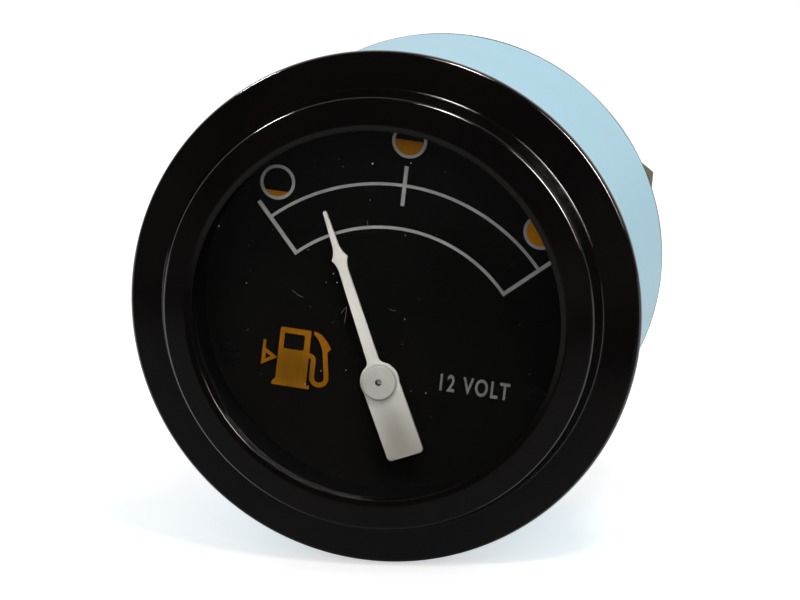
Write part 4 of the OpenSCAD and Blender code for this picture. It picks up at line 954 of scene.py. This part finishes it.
def washer(name, r, thick, edge=0.08):
    """A plain washer for an M4 stud, from y = 0 to thick."""
    return turned(name, [(HOLE_R, 0, edge / 2), (HOLE_R, thick, edge / 2), (r, thick, edge),
                         (r, 0, edge)], around=72, steps=2)


def nut(name, thick):
    """An M4 nut, 7 mm across the flats, from y = 0 to thick."""
    piece = hexagon(7.0, 0, thick)
    piece.name = piece.data.name = name
    cut(piece, turned("bore", [
        (HOLE_R + 0.4, -0.1), (HOLE_R, 0.3), (HOLE_R, thick - 0.3),
        (HOLE_R + 0.4, thick + 0.1), (0, thick + 0.1)], around=56))
    return smooth(bevelled(piece, 0.06, 24), 40)


def spring_washer(name, hole, r=3.6, thick=0.62, rise=0.26):
    """A split spring washer: a square-cut helix whose ends stand apart by rise."""
    piece = open_sheet(r - hole, thick, (r + hole) / 2, thick / 2, 0.07, 2)
    piece.name = piece.data.name = name
    bpy.ops.mesh.delete(type="ONLY_FACE")
    modified(closed(piece), "SCREW", axis="Y", angle=math.radians(350), steps=64,
             render_steps=64, screw_offset=rise * MM, use_smooth_shade=True)
    opened(piece)
    bpy.ops.mesh.fill_holes(sides=0)
    faced_out()
    closed(piece).rotation_euler = (0, math.radians(-85), 0)
    return smooth(applied(piece))


fibre = finish("fibre_brown", (78, 34, 24), (104, 50, 34), (0.5, 0.68), clouds=500, grain=3500,
               depth=0.012, speck=(0.14, (60, 26, 18)), speck_scale=1600)
zinc_bright = finish("zinc_bright", (172, 176, 182), (204, 207, 212), (0.2, 0.36), 1.0,
                     clouds=320, grain=4500, depth=0.003, speck=(0.1, (130, 132, 136)),
                     speck_scale=800)
WASHER_R, WASHER_T, FIBRE_R, FIBRE_T, NUT_T = 4.0, 0.6, 4.2, 1.2, 3.2
for model, name, y, finished, slot, node in (
    (washer("fibre_washer", FIBRE_R, FIBRE_T, 0.15), "fibre_washers", REAR_Y, fibre,
     "fibre_brown", "terminal_insulators"),
    (washer("plain_washer", WASHER_R, WASHER_T), "terminal_plain_washers", 39.4, zinc_yellow,
     "zinc_yellow", "terminal_washers"),
    (nut("fixing_nut", NUT_T), "fixing_nuts", 40.0, zinc_yellow, "zinc_yellow", "terminal_nuts"),
    (spring_washer("lock_washer", HOLE_R), "lock_washers_split", 43.2, zinc_bright,
     "zinc_bright", "terminal_lock_washers"),
    (nut("wire_nut", NUT_T), "wire_nuts_chamfered", 44.4, zinc_yellow, "zinc_yellow",
     "wire_nuts"),
):
    fitted(repeated(model, TERMINALS, name, y), finished, slot, node)

# ---- Clamp stud washers, fixing nuts and knurled nuts ----
# A plain washer and a thin nut hold each pillar in the case. Behind them a split spring
# washer and a knurled nut draw the clamp strap towards the panel.

THIN_NUT_T, SPLIT_Y, KNURLED_Y = 2.2, 41.05, 41.95
for model, name, y, node in (
    (washer("pillar_washer", WASHER_R, WASHER_T), "pillar_plain_washers", REAR_Y,
     "pillar_washers"),
    (nut("thin_nut", THIN_NUT_T), "pillar_thin_nuts", REAR_Y + WASHER_T, "pillar_nuts"),
):
    fitted(repeated(model, CLAMPS.values(), name, y), zinc_yellow, "zinc_yellow", node)


def fluted(piece, count, sides, rim, from_r, bottoms):
    """Sinks grooves into the rim of a turned piece that has so many sides to a groove. bottoms
    are the radii at the middle of a groove, one side off it, and so on."""
    opened(piece)
    for off, bottom in enumerate(bottoms):
        def in_groove(corner):
            side = round(math.degrees(math.atan2(corner.co.x, corner.co.z)) * count * sides / 360)
            return off_axis(corner) > from_r * MM and min(side % sides, -side % sides) == off

        picked(piece, "VERT", in_groove)
        drawn_in(bottom / rim)
    return closed(piece)


KNURLS, KNURL_SIDES, KNURL_R, KNURL_ROOT = 24, 6, 4.5, 4.22
knurled = turned("knurled_nut", [
    (HOLE_R, 0.3), (2.35, 0), (3.88, 0), (4.0, 0.12), (4.0, 0.8), (KNURL_ROOT, 0.8),
    (KNURL_R, 1.08), (KNURL_R, 4.22), (KNURL_ROOT, 4.5), (2.6, 4.5, 0.1), (2.4, 4.3),
    (HOLE_R, 4.1)], around=KNURLS * KNURL_SIDES)
smooth(fluted(knurled, KNURLS, KNURL_SIDES, KNURL_R, KNURL_R - 0.02,
              (KNURL_ROOT, (KNURL_ROOT + KNURL_R) / 2)), 20)
for side, place in CLAMPS.items():
    split = put(spring_washer(side + "_washer_split", 2.3), place, SPLIT_Y)
    fitted(split, zinc_bright, "zinc_bright", side + "_spring_washer", body=side + "_washer")
    twin = put(copied(knurled, side + "_nut_knurled"), place, KNURLED_Y)
    fitted(twin, zinc_yellow, "zinc_yellow", side + "_clamp_nut", body=side + "_nut")
bpy.data.objects.remove(knurled)

# ---- Lamp tube ----
# A steel tube with a flange, bright zinc plated. It is pushed in from behind and swaged
# into the rear wall.

TUBE_IN, TUBE_FLANGE, TUBE_END = 5.0, 6.4, 38.9
tube = turned("lamp_tube_swaged", [
    (TUBE_IN, 26.2), (TUBE_OUT, 26.2), (TUBE_OUT, REAR_Y, 0.1), (TUBE_FLANGE, REAR_Y, 0.1),
    (TUBE_FLANGE, TUBE_END, 0.2), (TUBE_IN, TUBE_END, 0.25)])
fitted(put(tube, LAMP), zinc_bright, "zinc_bright", "lamp_tube")

# ---- Lamp holder and contact tab ----
# A push-in holder moulded in black, with twelve finger grooves round its grip, and the
# brass tab that carries the lighting wire through it.

GROOVES, GROOVE_SIDES, GRIP_R, GRIP_END = 12, 12, 6.2, 44.4
holder = turned("holder_moulded", [
    (3.72, 38.7), (3.72, 27.4, 0.1), (4.92, 27.4, 0.2), (4.92, TUBE_END), (6.0, TUBE_END),
    (GRIP_R, 39.1), (GRIP_R, 43.7), (5.95, 44.15), (5.5, GRIP_END), (5.2, GRIP_END),
    (0, GRIP_END)], around=GROOVES * GROOVE_SIDES)
fluted(holder, GROOVES, GROOVE_SIDES, GRIP_R, 5.93, (5.85, 5.9, 6.1))
bpy.ops.mesh.primitive_cube_add(size=1, location=(0, 42.4 * MM, 0),
                                scale=(6.5 * MM, 7 * MM, 1.0 * MM))
cut(holder, applied(bpy.context.object))
holder_black = finish("holder_black", (20, 20, 20), (32, 31, 30), (0.36, 0.52), clouds=160,
                      grain=2600, depth=0.01, speck=(0.1, (56, 54, 50)), speck_scale=1200)
fitted(put(smooth(holder), LAMP), holder_black, "holder_black", "lamp_holder", body="lamp")
eased("lamp_tab", "tab_stamped", brass, "brass_bright", 0.12, body="lamp")

# ---- Bulb ----
# A small bayonet bulb: a blown glass envelope cemented in a brass cap, with a coiled
# filament on two supports.

cap = turned("bulb_cap", [
    (2.4, 26.7), (3.45, 26.2, 0.2), (3.6, 26.9, 0.1), (3.6, 33.0), (3.45, 33.3), (3.6, 33.6),
    (3.6, 38.4, 0.3), (2.0, 38.9, 0.2), (0, 38.9)])
fitted(put(cap, LAMP), brass, "bulb_glass", "lamp_bulb", body="lamp")
envelope = turned("bulb_envelope", [
    (0.05, 17.45), (2.75, 17.45, 2.6), (2.75, 26.9), (3.0, 26.9), (3.0, 17.2, 2.85), (0, 17.2)],
    steps=10)
bulb_glass, tree, sockets = material("bulb_glass", Transmission_Weight=1.0, IOR=1.45)
clouds, _, _ = detail_in(tree)
join(blended(clouds, (0.96, 0.96, 0.95, 1), (1, 1, 1, 1)), sockets["Base Color"])
join(uneven(clouds, 0.0, 0.03), sockets["Roughness"])
fitted(put(envelope, LAMP), bulb_glass, "bulb_glass", "lamp_bulb", body="lamp")
envelope.visible_shadow = False

bpy.ops.mesh.primitive_circle_add(vertices=6, radius=0.05 * MM, location=(0.22 * MM, 0, 0),
                                  rotation=(QUARTER, 0, 0))
filament = modified(applied(bpy.context.object), "SCREW", axis="Z", screw_offset=0.18 * MM,
                    iterations=16, steps=10, render_steps=10)
filament.rotation_euler = (0, QUARTER, 0)
filament.location = (-1.44 * MM, 20.5 * MM, 0)
wires = [applied(filament)]
for side in (-1, 1):
    bpy.ops.mesh.primitive_circle_add(vertices=8, radius=0.1 * MM, rotation=(QUARTER, 0, 0),
                                      location=(side * 1.0 * MM, 28.0 * MM, 0))
    support = opened(applied(bpy.context.object))
    for dx, dy in ((0.0, -4.0), (side * 0.44, -3.4)):
        bpy.ops.mesh.extrude_region_move(TRANSFORM_OT_translate={"value": (dx * MM, dy * MM, 0)})
    wires.append(closed(support))
filament = smooth(united(wires, "bulb_filament"))
fitted(put(filament, LAMP), steel, "bulb_glass", "lamp_bulb", body="lamp")

# ---- Gasket and glass ----
# A black rubber ring and a flat disc of clear glass with a ground edge, pressed between the
# shroud and the bezel.

rubber = finish("rubber_black", (20, 20, 20), (30, 30, 29), (0.7, 0.85), clouds=300, depth=0.02,
                Specular_IOR_Level=0.3)
eased("lens_gasket", "gasket_rubber", rubber, "rubber_black", 0.2)
glass, tree, sockets = material("lens_clear", Transmission_Weight=1.0, IOR=1.45)
clouds, _, specks = detail_in(tree, 60, 2500, 900, 0.05)
join(blended(clouds, (0.985, 0.99, 0.985, 1), (1, 1, 1, 1)), sockets["Base Color"])
join(maths("MULTIPLY", specks, 0.04), sockets["Roughness"])
dress(nodes["lens_glass"], glass)
nodes["lens_glass"].visible_shadow = False

# ---- Bezel ----
# A ring pressed from steel sheet: rolled outer edge, low band, step, second band, and a lip
# rolled down on the glass. Its edge is turned in behind the case's flange. Gloss black.

BEZEL_R, LIP_R, LIP_OUT = 30, 21.6, 22.4
bezel = turned("bezel_pressed", [
    (27.2, 0), (BEZEL_R, 0, 0.78), (BEZEL_R, -1.6, 0.78), (25.9, -2.8, 0.4), (25.2, -5.7, 0.8),
    (LIP_OUT, -7.0, 0.7), (LIP_R, -7.0, 0.22), (LIP_R, -5.0, 0.1), (22.2, -5.0, 0.1),
    (22.2, -6.4), (22.268, -6.4), (24.685, -5.278), (25.398, -2.322, 1.0),
    (29.4, -1.15, 0.2), (29.4, -0.6, 0.2), (27.2, -0.6)], around=256, steps=7)
enamel_black, tree, sockets = material("bezel_black", Specular_IOR_Level=0.5)
clouds, grain, specks = detail_in(tree, 70, 6500, 900, 0.05)
fine_clouds, ripple, _ = detail_in(tree, 900, 1500, 900, 0.0)
colour = blended(uneven(clouds), (8, 7, 7), (14, 11, 9))
colour = blended(maths("MULTIPLY", specks, 0.6), colour, (40, 38, 36))
# Painted sheen: the flat of the lip is greyed as a painted reflection, but for its lower part
SHEEN_TOWARDS = math.radians(72)
painted_lip_sheen = maths("MULTIPLY", off_from(tree, (0, 0), LIP_R, 21.8),
              off_from(tree, (0, 0), LIP_OUT, 22.15))
along = vector_maths("DOT_PRODUCT", place_in(tree),
                     (math.cos(SHEEN_TOWARDS), 0, math.sin(SHEEN_TOWARDS)))["Value"]
painted_lip_sheen = maths("MULTIPLY", painted_lip_sheen, ranged(along, -0.005, 0.004))
bump = coat(tree, sockets, blended(painted_lip_sheen, colour, (27, 26, 25)),
            uneven(fine_clouds, 0.07, 0.14), grain, 0.003)
waves = node_in(tree, "Bump", Distance=0.0025 * MM, Height=ripple)
join(waves.outputs["Normal"], bump.inputs["Normal"])
fitted(bezel, enamel_black, "bezel_black", "bezel_ring")

# ---- Dust and lint ----
# Years on a shelf: pale specks and a few short hairs that lie loose on the glass. The
# clearest ones have their own places, and the small specks are scattered.

GLASS_FRONT = -5.0
dust_pale = finish("dust_pale", (186, 184, 178), (226, 224, 220), (0.8, 0.95), clouds=3000)
SPECKS = [
    (-0.68, 17.49, 0.12), (3.15, 9.28, 0.07), (-0.98, 13.25, 0.06), (-5.27, 4.49, 0.07),
    (-4.85, 3.47, 0.06), (-15.49, 3.03, 0.06), (-18.71, 9.58, 0.07), (-4.54, 17.89, 0.05),
    (3.09, -0.52, 0.08), (3.82, -8.9, 0.06), (5.58, -9.07, 0.07), (-3.8, -6.74, 0.06),
    (-8.63, -8.57, 0.07), (3.81, 17.71, 0.05),
]
SMALL_SPECKS, DUSTY_R = 26, 20.5
chance = random.Random(7)
for _ in range(SMALL_SPECKS):
    r, a = DUSTY_R * math.sqrt(chance.random()), chance.uniform(0, 2 * math.pi)
    SPECKS.append((r * math.cos(a), r * math.sin(a), chance.uniform(0.025, 0.045)))
dust = []
for x, z, r in SPECKS:
    bpy.ops.mesh.primitive_ico_sphere_add(subdivisions=1, radius=r * MM)
    speck = bpy.context.object
    speck.scale = (chance.uniform(0.7, 1.2), 0.3, chance.uniform(0.7, 1.2))
    speck.rotation_euler = (0, chance.uniform(0, 3), 0)
    speck.location = Vector((x, GLASS_FRONT - 0.01, z)) * MM
    dust.append(applied(speck))
fitted(united(dust, "dust_specks"), dust_pale, "lens")

HAIRS = [
    [(-4.38, -0.12), (-4.0, 0.42), (-3.7, 0.74), (-3.82, -0.2), (-3.96, -1.25)],
    [(1.31, 0.61), (1.69, 0.32), (2.05, 0.48)],
    [(-10.14, 2.4), (-9.85, 2.2), (-9.55, 1.96), (-9.2, 1.72), (-8.84, 1.63)],
    [(-1.29, 10.85), (-1.3, 10.5), (-1.27, 10.21)],
]
shape = bpy.data.curves.new("lint", "CURVE")
shape.dimensions = "3D"
shape.bevel_depth = 0.018 * MM
shape.bevel_resolution = 1
for hair in HAIRS:
    strand = shape.splines.new("NURBS")
    strand.points.add(len(hair) - 1)
    for point, (x, z) in zip(strand.points, hair):
        point.co = (x * MM, (GLASS_FRONT - 0.02) * MM, z * MM, 1)
    strand.use_endpoint_u = True
    strand.order_u = 3
only(linked("lint", shape))
bpy.ops.object.convert(target="MESH")
lint = bpy.context.object
lint.name = lint.data.name = "lint_hairs"
lint_grey = finish("lint_grey", (96, 94, 90), (140, 138, 132), (0.8, 0.95), clouds=3000)
fitted(lint, lint_grey, "lens")
